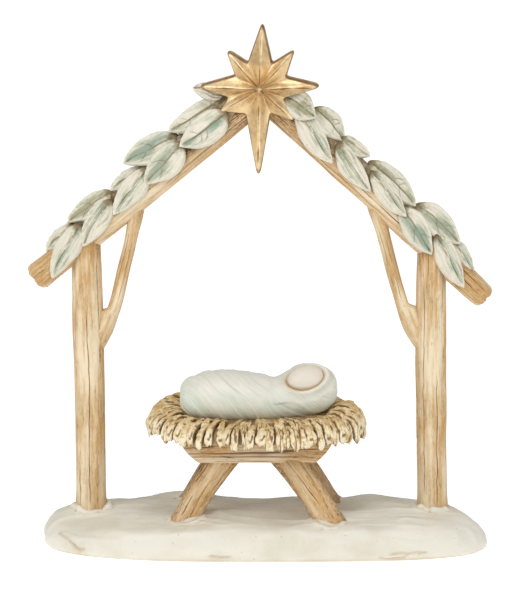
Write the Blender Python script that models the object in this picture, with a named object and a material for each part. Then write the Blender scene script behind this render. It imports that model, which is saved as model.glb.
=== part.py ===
"""A small nativity figurine in painted cast resin, about a foot tall.

A swaddled child lies on the straw of a manger. The manger stands on a low mound of ground, under a
stable of two posts and two roof poles. Leaves run down the poles and a star stands at the apex.
The whole figurine is one casting, so every form below is joined into one solid.

Metres, +Z up, the front towards -Y. The origin is on the flat underside, midway between the posts.
Run with: blender --background --python part.py
"""

import math

import bmesh
import bpy
from mathutils import Matrix, Vector, noise

# The ground, a low oval mound with a flat underside
GROUND_LEFT = 0.1275
GROUND_RIGHT = 0.1325
GROUND_HALF_DEPTH = 0.049
GROUND_HEIGHT = 0.0212
GROUND_CORNER_POWER = 2.5
GROUND_SWELL = 0.0016
GROUND_SIDES = 44
GROUND_WAVE = 0.015

# The stable's posts, and how deep anything that stands on the ground goes into it
POST_LEFT_X = -0.1005
POST_RIGHT_X = 0.1005
POST_LEAN = 0.0018
POST_FOOT_RADIUS = 0.0088
POST_HEAD_RADIUS = 0.0081
POST_FOOT_FLARE = 1.08
LEFT_POST_BOW = 0.0006
RIGHT_POST_BOW = -0.0008
FOOT_DEPTH = 0.006

# The roof poles, from the apex to each eave
APEX_HEIGHT = 0.262
LEFT_EAVE = (-0.1315, 0.1586)
RIGHT_EAVE = (0.1298, 0.1474)
POLE_APEX_RADIUS = 0.0062
POLE_EAVE_RADIUS = 0.0075
POLE_CROSSING = 0.006
POLE_SAG = 0.0007

# The forked branches between each post and its pole
BRACE_RADIUS = 0.0041
BRACE_FORK_HEIGHT = 0.122
BRACE_REACH = 0.068
BRACE_BOW = 0.0035

# The leaf garlands
GARLAND_CORE_RADIUS = 0.0054
GARLAND_CORE_RISE = 0.0080
GARLAND_START = 0.010
GARLAND_END_MARGIN = 0.022
LEAF_THICKNESS = 0.0034
LEAF_FOLD = 0.28
LEAF_CURL = 0.10
FRONT_LEAF_FORWARD = 0.0074
TOP_LEAF_FORWARD = 0.0022
BACK_LEAF_LENGTH = 0.032
BACK_LEAF_WIDTH = 0.0135
BACK_LEAF_PITCH = 0.029
BACK_LEAF_COUNT = 5

# Each leaf: its stem's distance from the apex, its rise over the pole's axis, its length, its lean
# from the pole in degrees, its width, and its row
LEFT_LEAVES = (
    (0.020, 0.0065, 0.034, 2, 0.0195, "front"),
    (0.051, 0.0088, 0.033, -11, 0.0183, "front"),
    (0.076, 0.0100, 0.034, -16, 0.0153, "front"),
    (0.104, 0.0087, 0.032, -19, 0.0153, "front"),
    (0.127, 0.0091, 0.036, -25, 0.0153, "front"),
    (0.017, 0.0115, 0.018, 52, 0.0106, "top"),
    (0.019, 0.0138, 0.036, 8, 0.0165, "top"),
    (0.051, 0.0125, 0.036, 11, 0.0207, "top"),
    (0.078, 0.0112, 0.024, 4, 0.0130, "top"),
    (0.101, 0.0120, 0.032, 2, 0.0159, "top"),
    (0.131, 0.0104, 0.022, -4, 0.0130, "top"),
)
RIGHT_LEAVES = (
    (0.018, 0.0092, 0.038, -14, 0.0147, "front"),
    (0.049, 0.0097, 0.034, -14, 0.0136, "front"),
    (0.074, 0.0108, 0.034, -10, 0.0130, "front"),
    (0.101, 0.0062, 0.033, -12, 0.0165, "front"),
    (0.127, 0.0082, 0.035, -20, 0.0147, "front"),
    (0.011, 0.0145, 0.020, -3, 0.0159, "top"),
    (0.026, 0.0160, 0.026, -4, 0.0177, "top"),
    (0.049, 0.0142, 0.020, 8, 0.0118, "top"),
    (0.070, 0.0138, 0.038, 0, 0.0177, "top"),
    (0.107, 0.0136, 0.035, 2, 0.0189, "top"),
    (0.136, 0.0120, 0.024, -13, 0.0130, "top"),
)

# The star: each point's direction in degrees from +X and its length from the centre
STAR_POINTS = (
    (2, 0.0338),
    (46, 0.0275),
    (89, 0.0360),
    (133, 0.0280),
    (179, 0.0345),
    (210, 0.0272),
    (268.5, 0.0492),
    (319, 0.0272),
)
STAR_VALLEY_RADIUS = 0.0163
STAR_BOW = 0.03
STAR_ABOVE_APEX = 0.0072
STAR_RIM = 0.0052
STAR_PEAK = 0.0062
STAR_SUNK = 0.0024
STAR_BACK_TAPER = 0.955
STAR_LEAN = math.radians(3)
STAR_TURN = math.radians(-4)

# The manger's trough and legs
MANGER_X = -0.0032
LEG_HEIGHT = 0.0323
TROUGH_DEPTH = 0.013
TROUGH_TOP_HALF_LENGTH = 0.0425
TROUGH_BOTTOM_HALF_LENGTH = 0.0335
TROUGH_TOP_HALF_WIDTH = 0.0285
TROUGH_BOTTOM_HALF_WIDTH = 0.0255
LEG_HALF_WIDTH = 0.0087
LEG_HALF_THICKNESS = 0.0060
LEG_TOP_X = 0.0140
LEG_FOOT_X = 0.0412
LEG_TOP_Y = 0.0175
LEG_FOOT_Y = 0.0285
LEG_BOW = 0.001
PLANK_EDGE_RADIUS = 0.0018

# The straw, a fluted pad of tufts that hang over the trough's edge
STRAW_PAST_ENDS = 0.0210
STRAW_PAST_SIDES = 0.0125
STRAW_THICKNESS = 0.0170
STRAW_OVERHANG = 0.0030
STRAW_FRONT_DROP = 0.0030
STRAW_BACK_RISE = 0.0050
STRAW_LEFT_RISE = 0.75
STRAW_TUFTS = 42
TUFT_GROOVE = 0.0022

# The swaddled child: the bundle's length, height and width, and its wrapped bands
CHILD_LENGTH = 0.0920
CHILD_HEIGHT = 0.0343
CHILD_WIDTH = 0.0420
CHILD_SUNK = 0.0066
CHILD_OFF_CENTRE = 0.0012
CHILD_SQUARENESS = 0.86
CHILD_BANDS = 8
BAND_SLANT = 1.15
BAND_RELIEF = 0.0009

# Along the bundle, as shares of its length, its height and its width: how far along, the top's
# height, the underside's height and the half width
CHILD_SECTIONS = (
    (0.00, 0.78, 0.06, 0.82),
    (0.16, 0.85, 0.01, 0.94),
    (0.38, 0.86, 0.00, 1.00),
    (0.54, 0.79, 0.00, 0.93),
    (0.62, 0.75, 0.02, 0.85),
    (0.74, 0.94, 0.02, 0.84),
    (0.88, 1.05, 0.04, 0.86),
    (1.00, 1.04, 0.10, 0.82),
)

# The face, a smooth oval in the hood: its size as shares of the bundle's width, and its direction
FACE_ALONG = 0.795
FACE_LENGTH = 0.275
FACE_WIDTH = 0.175
FACE_DEPTH = 0.15
HOOD_DEPTH = 0.12
HOOD_GAP = 0.0015
FACE_TILT = math.radians(40)
FACE_RISE = math.radians(14)


def clear_scene():
    for obj in list(bpy.data.objects):
        bpy.data.objects.remove(obj)


def paint(name, colour, roughness, metallic=0.0):
    material = bpy.data.materials.new(name)
    material.use_nodes = True
    shader = material.node_tree.nodes["Principled BSDF"]
    shader.inputs["Base Color"].default_value = (*colour, 1.0)
    shader.inputs["Roughness"].default_value = roughness
    shader.inputs["Metallic"].default_value = metallic
    return material


def add_form(name, bm, collection):
    """Turns a finished bmesh into an object of its own in the collection."""
    bmesh.ops.recalc_face_normals(bm, faces=bm.faces)
    mesh = bpy.data.meshes.new(name)
    bm.to_mesh(mesh)
    bm.free()
    obj = bpy.data.objects.new(name, mesh)
    collection.objects.link(obj)
    return obj


def between(a, b, share):
    return a + (b - a) * share


def smooth_row(rows, share):
    """A row of numbers read from a table at a share along it, on a smooth curve through its rows."""
    last = len(rows) - 1
    at = next((i for i in range(last) if share <= rows[i + 1][0]), last - 1)
    before, start = rows[max(at - 1, 0)], rows[at]
    end, after = rows[at + 1], rows[min(at + 2, last)]
    t = (share - start[0]) / (end[0] - start[0])
    found = []
    for p0, p1, p2, p3 in zip(before[1:], start[1:], end[1:], after[1:]):
        bend = 2 * p0 - 5 * p1 + 4 * p2 - p3
        twist = 3 * p1 - p0 - 3 * p2 + p3
        found.append(p1 + 0.5 * t * (p2 - p0 + t * (bend + t * twist)))
    return found


def ground_outline(angle):
    """The ground's edge in plan, a rounded oblong that is a little longer to the right."""
    c, s = math.cos(angle), math.sin(angle)
    power = 2 / GROUND_CORNER_POWER
    half_length = GROUND_RIGHT if c > 0 else GROUND_LEFT
    wave = 1 + GROUND_WAVE * (math.sin(3 * angle + 0.7) + 0.8 * math.sin(5 * angle))
    x = half_length * math.copysign(abs(c) ** power, c)
    y = GROUND_HALF_DEPTH * wave * math.copysign(abs(s) ** power, s)
    return x, y


def ground_top(x, y):
    """The height of the ground's top, with its soft swells, away from the rounded edge."""
    swell = noise.noise(Vector((x * 28, y * 38, 0.4)))
    return GROUND_HEIGHT + GROUND_SWELL * swell


def make_ground(collection):
    """A sphere's rings laid out as the mound: flat below, rounded at the edge, swelling on top."""
    rings = (
        (0.0, 1.0),
        (0.25, 1.0),
        (0.47, 1.0),
        (0.66, 0.99),
        (0.80, 0.96),
        (0.90, 0.88),
        (0.965, 0.72),
        (1.0, 0.42),
        (1.0, 0.14),
        (0.985, 0.0),
        (0.0, 0.0),
    )
    bm = bmesh.new()
    bmesh.ops.create_uvsphere(bm, u_segments=GROUND_SIDES, v_segments=len(rings) - 1, radius=1)
    for vert in bm.verts:
        colatitude = math.acos(max(-1.0, min(1.0, vert.co.z)))
        reach, lift = rings[round(colatitude / math.pi * (len(rings) - 1))]
        x, y = ground_outline(math.atan2(vert.co.y, vert.co.x))
        x, y = x * reach, y * reach
        vert.co = (x, y, ground_top(x, y) * lift)
    return add_form("ground", bm, collection)


def make_stick(name, points, radii, collection, sides=10, flatten=1.0):
    """A round or flattened stick through the points, as a bevelled curve made a closed mesh."""
    curve = bpy.data.curves.new(name, "CURVE")
    curve.dimensions = "3D"
    curve.bevel_depth = 1.0
    curve.bevel_resolution = (sides - 4) // 2
    curve.use_fill_caps = True
    spline = curve.splines.new("POLY")
    spline.points.add(len(points) - 1)
    for knot, point, radius in zip(spline.points, points, radii):
        knot.co = (*point, 1.0)
        knot.radius = radius
    guide = bpy.data.objects.new(name + "_line", curve)
    collection.objects.link(guide)
    evaluated = guide.evaluated_get(bpy.context.evaluated_depsgraph_get())
    mesh = bpy.data.meshes.new_from_object(evaluated)
    bm = bmesh.new()
    bm.from_mesh(mesh)
    bmesh.ops.remove_doubles(bm, verts=bm.verts, dist=1e-6)
    middle = sum((Vector(p) for p in points), Vector()) / len(points)
    for vert in bm.verts:
        vert.co.y = middle.y + (vert.co.y - middle.y) * flatten
    form = add_form(name, bm, collection)
    bpy.data.objects.remove(guide)
    bpy.data.meshes.remove(mesh)
    return form


def stick_path(start, end, count, bow=0.0):
    """Points from start to end, bowed sideways in the XZ plane by the given depth."""
    start, end = Vector(start), Vector(end)
    run = (end - start).normalized()
    side = Vector((run.z, 0, -run.x))
    points = []
    for i in range(count):
        share = i / (count - 1)
        points.append(start.lerp(end, share) + side * bow * math.sin(math.pi * share))
    return points


def pole_line(eave):
    """The apex, the unit direction down a roof pole, its upward normal and its length."""
    apex = Vector((0, 0, APEX_HEIGHT))
    end = Vector((eave[0], 0, eave[1]))
    down = (end - apex).normalized()
    up = Vector((-down.z, 0, down.x)) if down.x > 0 else Vector((down.z, 0, -down.x))
    return apex, down, up, (end - apex).length


def pole_height(eave, x):
    """The height of a roof pole's axis at x."""
    return APEX_HEIGHT + (eave[1] - APEX_HEIGHT) * x / eave[0]


def make_stable(collection):
    """Two posts, two roof poles that cross at the apex, and a forked branch at each side."""
    forms = []
    for side, x, eave in (("left", POST_LEFT_X, LEFT_EAVE), ("right", POST_RIGHT_X, RIGHT_EAVE)):
        head_x = x - POST_LEAN
        foot = (x, 0, ground_top(x, 0) - FOOT_DEPTH)
        head = (head_x, 0, pole_height(eave, head_x))
        bow = LEFT_POST_BOW if side == "left" else RIGHT_POST_BOW
        points = stick_path(foot, head, 7, bow)
        radii = [between(POST_FOOT_RADIUS, POST_HEAD_RADIUS, i / 6) for i in range(7)]
        radii[0] *= POST_FOOT_FLARE
        forms.append(make_stick(side + "_post", points, radii, collection))

        apex, down, up, length = pole_line(eave)
        start = apex - down * POLE_CROSSING
        points = stick_path(start, apex + down * length, 8, -POLE_SAG)
        radii = [between(POLE_APEX_RADIUS, POLE_EAVE_RADIUS, i / 7) for i in range(8)]
        forms.append(make_stick(side + "_pole", points, radii, collection))

        outward = math.copysign(1, x)
        fork = (x - outward * POST_FOOT_RADIUS * 0.45, 0, BRACE_FORK_HEIGHT)
        top_x = outward * BRACE_REACH
        top = (top_x, 0, pole_height(eave, top_x))
        points = stick_path(fork, top, 7, -outward * BRACE_BOW)
        radii = [BRACE_RADIUS * (1.15 - 0.3 * math.sin(math.pi * i / 7)) for i in range(7)]
        forms.append(make_stick(side + "_brace", points, radii, collection, sides=8))
    return forms


def make_leaf(name, stem, along, face, length, width, collection):
    """A thick pointed leaf: it runs from the stem, faces the way given and is folded on its rib."""
    along = along.normalized()
    across = face.cross(along).normalized()
    face = along.cross(across)
    bm = bmesh.new()
    bmesh.ops.create_uvsphere(bm, u_segments=8, v_segments=6, radius=1)
    for vert in bm.verts:
        angle = math.atan2(vert.co.y, vert.co.x)
        share = math.acos(max(-1.0, min(1.0, vert.co.z))) / math.pi
        ring = math.sin(math.pi * share**0.85) ** 0.8 if 0 < share < 1 else 0.0
        wide = width / 2 * ring * math.cos(angle)
        thick = LEAF_THICKNESS / 2 * ring**0.6 * math.sin(angle)
        fold = LEAF_FOLD * abs(wide)
        curl = -LEAF_CURL * length * (share - 0.4) ** 2
        vert.co = stem + along * length * share + across * wide + face * (thick - fold + curl)
    return add_form(name, bm, collection)


def make_garland(side, eave, leaves, collection):
    """The garland's core along the top of a pole, with its front and top leaves and a back row."""
    apex, down, up, length = pole_line(eave)
    front = Vector((0, -1, 0))
    first = apex + down * GARLAND_START + up * GARLAND_CORE_RISE
    last = apex + down * (length - GARLAND_END_MARGIN) + up * GARLAND_CORE_RISE * 0.75
    radii = [GARLAND_CORE_RADIUS * s for s in (0.9, 1.0, 1.0, 1.0, 0.95, 0.6)]
    core = make_stick(side + "_garland_core", stick_path(first, last, 6), radii, collection, sides=8)
    forms = [core]
    for number, (at, rise, leaf_length, lean, width, row) in enumerate(leaves, 1):
        angle = math.radians(lean)
        along = down * math.cos(angle) + up * math.sin(angle)
        if row == "front":
            forward = FRONT_LEAF_FORWARD
            face = front * 0.94 + up * 0.34
            along = along + front * 0.05
        else:
            forward = TOP_LEAF_FORWARD
            face = front * 0.80 + up * 0.60
            along = along + front * 0.02
        stem = apex + down * at + up * rise + front * forward
        name = f"{side}_{row}_leaf_{number}"
        forms.append(make_leaf(name, stem, along, face, leaf_length, width, collection))
    for number in range(BACK_LEAF_COUNT):
        stem = apex + down * (GARLAND_START + number * BACK_LEAF_PITCH)
        stem = stem + up * (GARLAND_CORE_RISE + 0.002) - front * POLE_APEX_RADIUS * 0.75
        along = down - up * 0.16 - front * 0.05
        face = up * 0.62 - front * 0.78
        name = f"{side}_back_leaf_{number + 1}"
        forms.append(make_leaf(name, stem, along, face, BACK_LEAF_LENGTH, BACK_LEAF_WIDTH, collection))
    return forms


def star_reach(step, steps_per_point):
    """Direction and distance of the star's edge, with the sides of each point bowed out."""
    point, part = divmod(step, steps_per_point)
    angle, length = STAR_POINTS[point]
    next_angle, next_length = STAR_POINTS[(point + 1) % len(STAR_POINTS)]
    if next_angle < angle:
        next_angle += 360
    tip = Vector((math.cos(math.radians(angle)), math.sin(math.radians(angle)))) * length
    far = Vector((math.cos(math.radians(next_angle)), math.sin(math.radians(next_angle)))) * next_length
    valley_angle = math.radians((angle + next_angle) / 2)
    valley = Vector((math.cos(valley_angle), math.sin(valley_angle))) * STAR_VALLEY_RADIUS
    half = steps_per_point // 2
    if part <= half:
        start, end, share = tip, valley, part / half
    else:
        start, end, share = far, valley, (steps_per_point - part) / half
    bowed = start.lerp(end, share)
    return bowed * (1 + STAR_BOW * math.sin(math.pi * share))


def make_star(collection):
    """An eight-pointed star: a faceted cone with its rim drawn out to the points, on a thick rim."""
    steps_per_point = 4
    steps = steps_per_point * len(STAR_POINTS)
    bm = bmesh.new()
    bmesh.ops.create_cone(
        bm, cap_ends=True, cap_tris=False, segments=steps, radius1=1, radius2=0, depth=STAR_PEAK
    )
    bmesh.ops.remove_doubles(bm, verts=bm.verts, dist=1e-6)
    back = next(f for f in bm.faces if len(f.verts) == steps)
    for vert in back.verts:
        turn = math.degrees(math.atan2(vert.co.y, vert.co.x)) % 360
        x, y = star_reach(round(turn / 360 * steps) % steps, steps_per_point)
        vert.co = (x, y, 0)
    peak = max(bm.verts, key=lambda v: len(v.link_edges))
    peak.co = (0, 0, STAR_PEAK)
    made = bmesh.ops.extrude_face_region(bm, geom=[back])["geom"]
    lower = [v for v in made if isinstance(v, bmesh.types.BMVert)]
    bmesh.ops.translate(bm, verts=lower, vec=(0, 0, -STAR_RIM))
    bmesh.ops.delete(bm, geom=[back], context="FACES_ONLY")
    for vert in lower:
        vert.co.x *= STAR_BACK_TAPER
        vert.co.y *= STAR_BACK_TAPER
    upright = Matrix.Rotation(math.pi / 2, 4, "X")
    turned = Matrix.Rotation(STAR_TURN, 4, "Z") @ Matrix.Rotation(STAR_LEAN, 4, "X")
    centre = Vector((0, STAR_SUNK - POLE_APEX_RADIUS - STAR_RIM, APEX_HEIGHT + STAR_ABOVE_APEX))
    bm.transform(Matrix.Translation(centre) @ turned @ upright)
    return add_form("star", bm, collection)


def make_trough(collection):
    """A shallow plank trough: a cube drawn in at the bottom, with its edges rounded."""
    bm = bmesh.new()
    bmesh.ops.create_cube(bm, size=2)
    for vert in bm.verts:
        top = vert.co.z > 0
        half_length = TROUGH_TOP_HALF_LENGTH if top else TROUGH_BOTTOM_HALF_LENGTH
        half_width = TROUGH_TOP_HALF_WIDTH if top else TROUGH_BOTTOM_HALF_WIDTH
        height = trough_bottom() + (TROUGH_DEPTH if top else 0)
        vert.co = (MANGER_X + half_length * vert.co.x, half_width * vert.co.y, height)
    bmesh.ops.bevel(
        bm, geom=list(bm.edges), offset=PLANK_EDGE_RADIUS, segments=2, profile=0.5, affect="EDGES"
    )
    return add_form("trough", bm, collection)


def make_legs(collection):
    """Four stout legs that splay from under the trough down into the ground."""
    forms = []
    for depth, y_sign in (("front", -1), ("back", 1)):
        for side, x_sign in (("left", -1), ("right", 1)):
            foot_x = MANGER_X + x_sign * LEG_FOOT_X
            foot_y = y_sign * LEG_FOOT_Y
            foot = (foot_x, foot_y, ground_top(foot_x, foot_y) - FOOT_DEPTH / 2)
            top_z = trough_bottom() + TROUGH_DEPTH / 2
            top = (MANGER_X + x_sign * LEG_TOP_X, y_sign * LEG_TOP_Y, top_z)
            points = stick_path(foot, top, 4, x_sign * LEG_BOW)
            radii = [LEG_HALF_WIDTH * s for s in (0.98, 1.0, 1.0, 1.05)]
            name = f"{depth}_{side}_leg"
            flatten = LEG_HALF_THICKNESS / LEG_HALF_WIDTH
            forms.append(make_stick(name, points, radii, collection, sides=8, flatten=flatten))
    return forms


def trough_bottom():
    return GROUND_HEIGHT + LEG_HEIGHT


def straw_bottom():
    return trough_bottom() + TROUGH_DEPTH - STRAW_OVERHANG


def straw_top():
    return straw_bottom() + STRAW_THICKNESS


def make_straw(collection):
    """A pad of straw: a flattened sphere whose rim is grooved into tufts of uneven length."""
    rings = (
        (0.0, 0.93),
        (0.40, 0.95),
        (0.70, 1.0),
        (0.88, 0.93),
        (0.98, 0.66),
        (1.0, 0.30),
        (0.93, 0.0),
        (0.50, 0.20),
        (0.0, 0.20),
    )
    sides = 2 * STRAW_TUFTS
    half_length = TROUGH_TOP_HALF_LENGTH + STRAW_PAST_ENDS
    half_width = TROUGH_TOP_HALF_WIDTH + STRAW_PAST_SIDES
    bm = bmesh.new()
    bmesh.ops.create_uvsphere(bm, u_segments=sides, v_segments=len(rings) - 1, radius=1)
    for vert in bm.verts:
        angle = math.atan2(vert.co.y, vert.co.x)
        step = round(angle / (2 * math.pi) * sides) % sides
        level = round(math.acos(max(-1.0, min(1.0, vert.co.z))) / math.pi * (len(rings) - 1))
        reach, lift = rings[level]
        rough = noise.noise(Vector((step * 0.9, 3.1, 7.7)))
        x = half_length * math.copysign(abs(math.cos(angle)) ** 0.86, math.cos(angle))
        y = half_width * math.copysign(abs(math.sin(angle)) ** 0.86, math.sin(angle))
        outer = max(0.0, reach - 0.6) / 0.4
        inward = 1 - outer * (TUFT_GROOVE / half_width) * (1.0 if step % 2 else -0.25)
        inward += 0.035 * rough * outer
        drop = 0.16 * rough * (1 - lift) * outer
        height = straw_bottom() + STRAW_THICKNESS * (lift - drop + 0.12 * (step % 2) * (lift < 0.5))
        back_rise = STRAW_BACK_RISE * (1 - STRAW_LEFT_RISE * math.cos(angle))
        tilt = back_rise if angle > 0 else STRAW_FRONT_DROP
        height += tilt * math.sin(angle) * reach * lift
        vert.co = (MANGER_X + x * reach * inward, y * reach * inward, height)
    return add_form("straw", bm, collection)


def child_section(share):
    """Centre height, half height and half width of the bundle at a share of its length."""
    top, under, half_width = smooth_row(CHILD_SECTIONS, share)
    base = straw_top() - CHILD_SUNK
    centre = base + CHILD_HEIGHT * (top + under) / 2
    return centre, CHILD_HEIGHT * (top - under) / 2, CHILD_WIDTH / 2 * half_width


def child_surface(share, angle):
    """A point on the bundle. The angle is 0 at the top and grows towards the front."""
    centre, half_height, half_width = child_section(share)
    power = 4.0 if share < 0.5 else 3.0
    round_end = (1 - abs(2 * share - 1) ** power) ** (1 / power)
    band = (share * CHILD_BANDS - angle / math.pi * BAND_SLANT) % 1.0
    in_hood = max(0.0, min(1.0, (share - 0.58) / 0.1))
    relief = BAND_RELIEF * (band - 0.5) * (1 - in_hood) * round_end
    s, c = math.sin(angle), math.cos(angle)
    x = MANGER_X + CHILD_OFF_CENTRE + CHILD_LENGTH * (share - 0.5)
    y = -math.copysign(abs(s) ** CHILD_SQUARENESS, s) * (half_width + relief) * round_end
    z = centre + math.copysign(abs(c) ** CHILD_SQUARENESS, c) * (half_height + relief) * round_end
    return Vector((x, y, z))


def make_child(collection):
    """The bundle: a sphere's rings laid along the child from its feet to the top of its hood."""
    levels = 20
    bm = bmesh.new()
    bmesh.ops.create_uvsphere(bm, u_segments=22, v_segments=levels, radius=1)
    for vert in bm.verts:
        colatitude = math.acos(max(-1.0, min(1.0, vert.co.z)))
        vert.co = child_surface((1 - math.cos(colatitude)) / 2, math.atan2(vert.co.y, vert.co.x))
    return add_form("swaddled_bundle", bm, collection)


def face_frame():
    """Where the face sits on the hood, as a matrix: X along the face's length, Z out of it."""
    out = Vector((0, -math.sin(FACE_TILT), math.cos(FACE_TILT)))
    length = Vector((math.cos(FACE_RISE), 0, math.sin(FACE_RISE)))
    length = (length - out * length.dot(out)).normalized()
    across = out.cross(length)
    place = child_surface(FACE_ALONG, FACE_TILT) - out * FACE_DEPTH * CHILD_WIDTH * 0.55
    turn = Matrix((length, across, out)).transposed().to_4x4()
    return Matrix.Translation(place) @ turn


def make_oval(name, grow, depth, collection):
    """The face's egg, or with some growth and less depth the hollow that the hood leaves round it."""
    bm = bmesh.new()
    bmesh.ops.create_uvsphere(bm, u_segments=16, v_segments=10, radius=1)
    half = (CHILD_WIDTH * FACE_LENGTH + grow, CHILD_WIDTH * FACE_WIDTH + grow, CHILD_WIDTH * depth)
    bm.transform(face_frame() @ Matrix.Diagonal((*half, 1.0)))
    return add_form(name, bm, collection)


def boolean(target, operation, collection):
    """Joins to the target, or cuts from it, every form in the collection."""
    modifier = target.modifiers.new(operation.lower(), "BOOLEAN")
    modifier.operation = operation
    modifier.solver = "EXACT"
    modifier.operand_type = "COLLECTION"
    modifier.collection = collection
    evaluated = target.evaluated_get(bpy.context.evaluated_depsgraph_get())
    mesh = bpy.data.meshes.new_from_object(evaluated)
    target.modifiers.clear()
    target.data = mesh


def new_collection(name):
    collection = bpy.data.collections.new(name)
    bpy.context.scene.collection.children.link(collection)
    return collection


def main():
    clear_scene()
    figurine = new_collection("nativity_figurine")
    forms = new_collection("forms_to_join")
    hollows = new_collection("forms_to_cut")

    child = make_child(figurine)
    make_oval("hood_hollow", HOOD_GAP, HOOD_DEPTH, hollows)
    boolean(child, "DIFFERENCE", hollows)
    make_oval("face", 0.0, FACE_DEPTH, forms)
    boolean(child, "UNION", forms)
    for obj in list(forms.objects) + list(hollows.objects):
        bpy.data.objects.remove(obj)

    make_ground(forms)
    make_stable(forms)
    make_garland("left", LEFT_EAVE, LEFT_LEAVES, forms)
    make_garland("right", RIGHT_EAVE, RIGHT_LEAVES, forms)
    make_star(forms)
    make_trough(forms)
    make_legs(forms)
    make_straw(forms)
    boolean(child, "UNION", forms)
    for obj in list(forms.objects):
        bpy.data.objects.remove(obj)

    child.name = "nativity_figurine"
    child.data.materials.clear()
    child.data.materials.append(paint("painted_resin", (0.72, 0.60, 0.42), 0.6))


main()
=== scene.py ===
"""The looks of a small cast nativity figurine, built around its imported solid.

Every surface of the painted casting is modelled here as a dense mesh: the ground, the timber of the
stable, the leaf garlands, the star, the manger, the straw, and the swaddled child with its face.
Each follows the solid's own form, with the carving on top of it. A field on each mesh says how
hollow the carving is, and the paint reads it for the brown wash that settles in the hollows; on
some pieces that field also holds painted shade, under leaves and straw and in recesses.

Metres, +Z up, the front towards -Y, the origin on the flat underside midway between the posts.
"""

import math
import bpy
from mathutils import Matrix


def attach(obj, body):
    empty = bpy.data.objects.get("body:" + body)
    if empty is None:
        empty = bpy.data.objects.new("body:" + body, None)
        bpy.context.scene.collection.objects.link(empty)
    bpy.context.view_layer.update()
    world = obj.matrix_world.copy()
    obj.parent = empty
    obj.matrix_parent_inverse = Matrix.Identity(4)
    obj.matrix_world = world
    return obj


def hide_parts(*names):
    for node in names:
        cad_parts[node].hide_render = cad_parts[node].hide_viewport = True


bl_info = {
    "name": "Nativity Figurine",
    "version": (1, 0, 0),
    "blender": (4, 5, 0),
    "location": "3D View > Sidebar > Figurine",
    "description": "Builds the carved and painted surfaces of a cast nativity figurine",
    "category": "Add Mesh",
}

import bpy
import numpy as np
from bpy.props import FloatProperty, FloatVectorProperty, IntProperty, PointerProperty
from mathutils import Matrix, Vector, noise

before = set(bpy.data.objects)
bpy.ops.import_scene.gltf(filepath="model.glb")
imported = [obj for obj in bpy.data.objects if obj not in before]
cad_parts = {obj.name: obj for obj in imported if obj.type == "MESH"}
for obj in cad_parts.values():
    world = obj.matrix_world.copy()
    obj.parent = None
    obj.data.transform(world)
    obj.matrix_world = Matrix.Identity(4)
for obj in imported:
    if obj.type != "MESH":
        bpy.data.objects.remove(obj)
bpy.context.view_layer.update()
NODE = "nativity_figurine"
BODY = "root"
FRONT = np.array((0.0, -1.0, 0.0))

# The leaves of each garland: the stem's distance from the apex, its rise over the pole's axis, the
# length, the lean from the pole in degrees, the width, the row, and the tint from olive (0) to teal (1)
LEFT_LEAVES = (
    (0.020, 0.0065, 0.034, 2, 0.0195, "front", 0.80),
    (0.051, 0.0088, 0.033, -11, 0.0183, "front", 0.45),
    (0.076, 0.0100, 0.034, -16, 0.0153, "front", 0.62),
    (0.104, 0.0087, 0.032, -19, 0.0153, "front", 0.50),
    (0.127, 0.0091, 0.036, -25, 0.0153, "front", 0.85),
    (0.015, 0.0142, 0.020, 54, 0.0112, "top", 0.25),
    (0.019, 0.0138, 0.036, 8, 0.0165, "top", 0.10),
    (0.051, 0.0137, 0.036, 10, 0.0207, "top", 0.60),
    (0.078, 0.0112, 0.024, 4, 0.0130, "top", 0.70),
    (0.101, 0.0120, 0.032, 2, 0.0159, "top", 0.05),
    (0.131, 0.0104, 0.022, -4, 0.0130, "top", 0.20),
)
RIGHT_LEAVES = (
    (0.018, 0.0092, 0.038, -14, 0.0147, "front", 0.60),
    (0.049, 0.0097, 0.034, -14, 0.0136, "front", 0.45),
    (0.074, 0.0108, 0.034, -10, 0.0130, "front", 0.50),
    (0.101, 0.0062, 0.033, -12, 0.0165, "front", 0.62),
    (0.127, 0.0082, 0.035, -20, 0.0147, "front", 0.78),
    (0.0085, 0.0104, 0.0218, 9, 0.0165, "front", 0.00),
    (0.026, 0.0160, 0.026, -4, 0.0177, "top", 0.30),
    (0.049, 0.0142, 0.020, 8, 0.0118, "top", 0.15),
    (0.070, 0.0138, 0.038, 0, 0.0177, "top", 0.30),
    (0.107, 0.0136, 0.035, 2, 0.0189, "top", 0.40),
    (0.136, 0.0120, 0.024, -13, 0.0130, "top", 0.95),
)

# The manger's legs: where each foot stands from the manger's middle, and its half width
MANGER_LEGS = (
    ("front_left_leg", -0.0398, -0.0292, 0.0074),
    ("front_right_leg", 0.0412, -0.0335, 0.0079),
    ("back_left_leg", -0.0378, 0.0232, 0.0072),
    ("back_right_leg", 0.0408, 0.0225, 0.0078),
)

# The star's points: the direction in degrees from +X and the length from the centre
STAR_POINTS = (
    (0.7, 0.0339),
    (46.9, 0.0282),
    (88.6, 0.0360),
    (133.5, 0.0280),
    (180, 0.0351),
    (211, 0.0281),
    (268.3, 0.0509),
    (315.6, 0.0276),
)

# The star's valleys between the points, each after the point of the same place in the table above
STAR_VALLEYS = (
    (21, 0.0157),
    (64, 0.0150),
    (119, 0.0156),
    (156, 0.0160),
    (197, 0.0196),
    (241, 0.0176),
    (291, 0.0158),
    (335, 0.0146),
)

# The forked branches' middle lines from the post up to the pole, in millimetres (X and Z)
BRANCH_LINES = {
    "left": (
        (-102, 108), (-98.5, 114.5), (-94.4, 121), (-90, 129.4), (-84.7, 144),
        (-80.3, 163), (-76.9, 176.5), (-73.6, 192.5), (-72.6, 203),
    ),
    "right": (
        (101.5, 107), (97.5, 113), (92.2, 120), (86.2, 129.4), (81.0, 144),
        (75.5, 163), (72.0, 176.5), (66.8, 196), (65.6, 203),
    ),
}

# How high over the table each branch leaves its post
FORK_HEIGHTS = {"left": 0.1377, "right": 0.1404}

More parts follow.
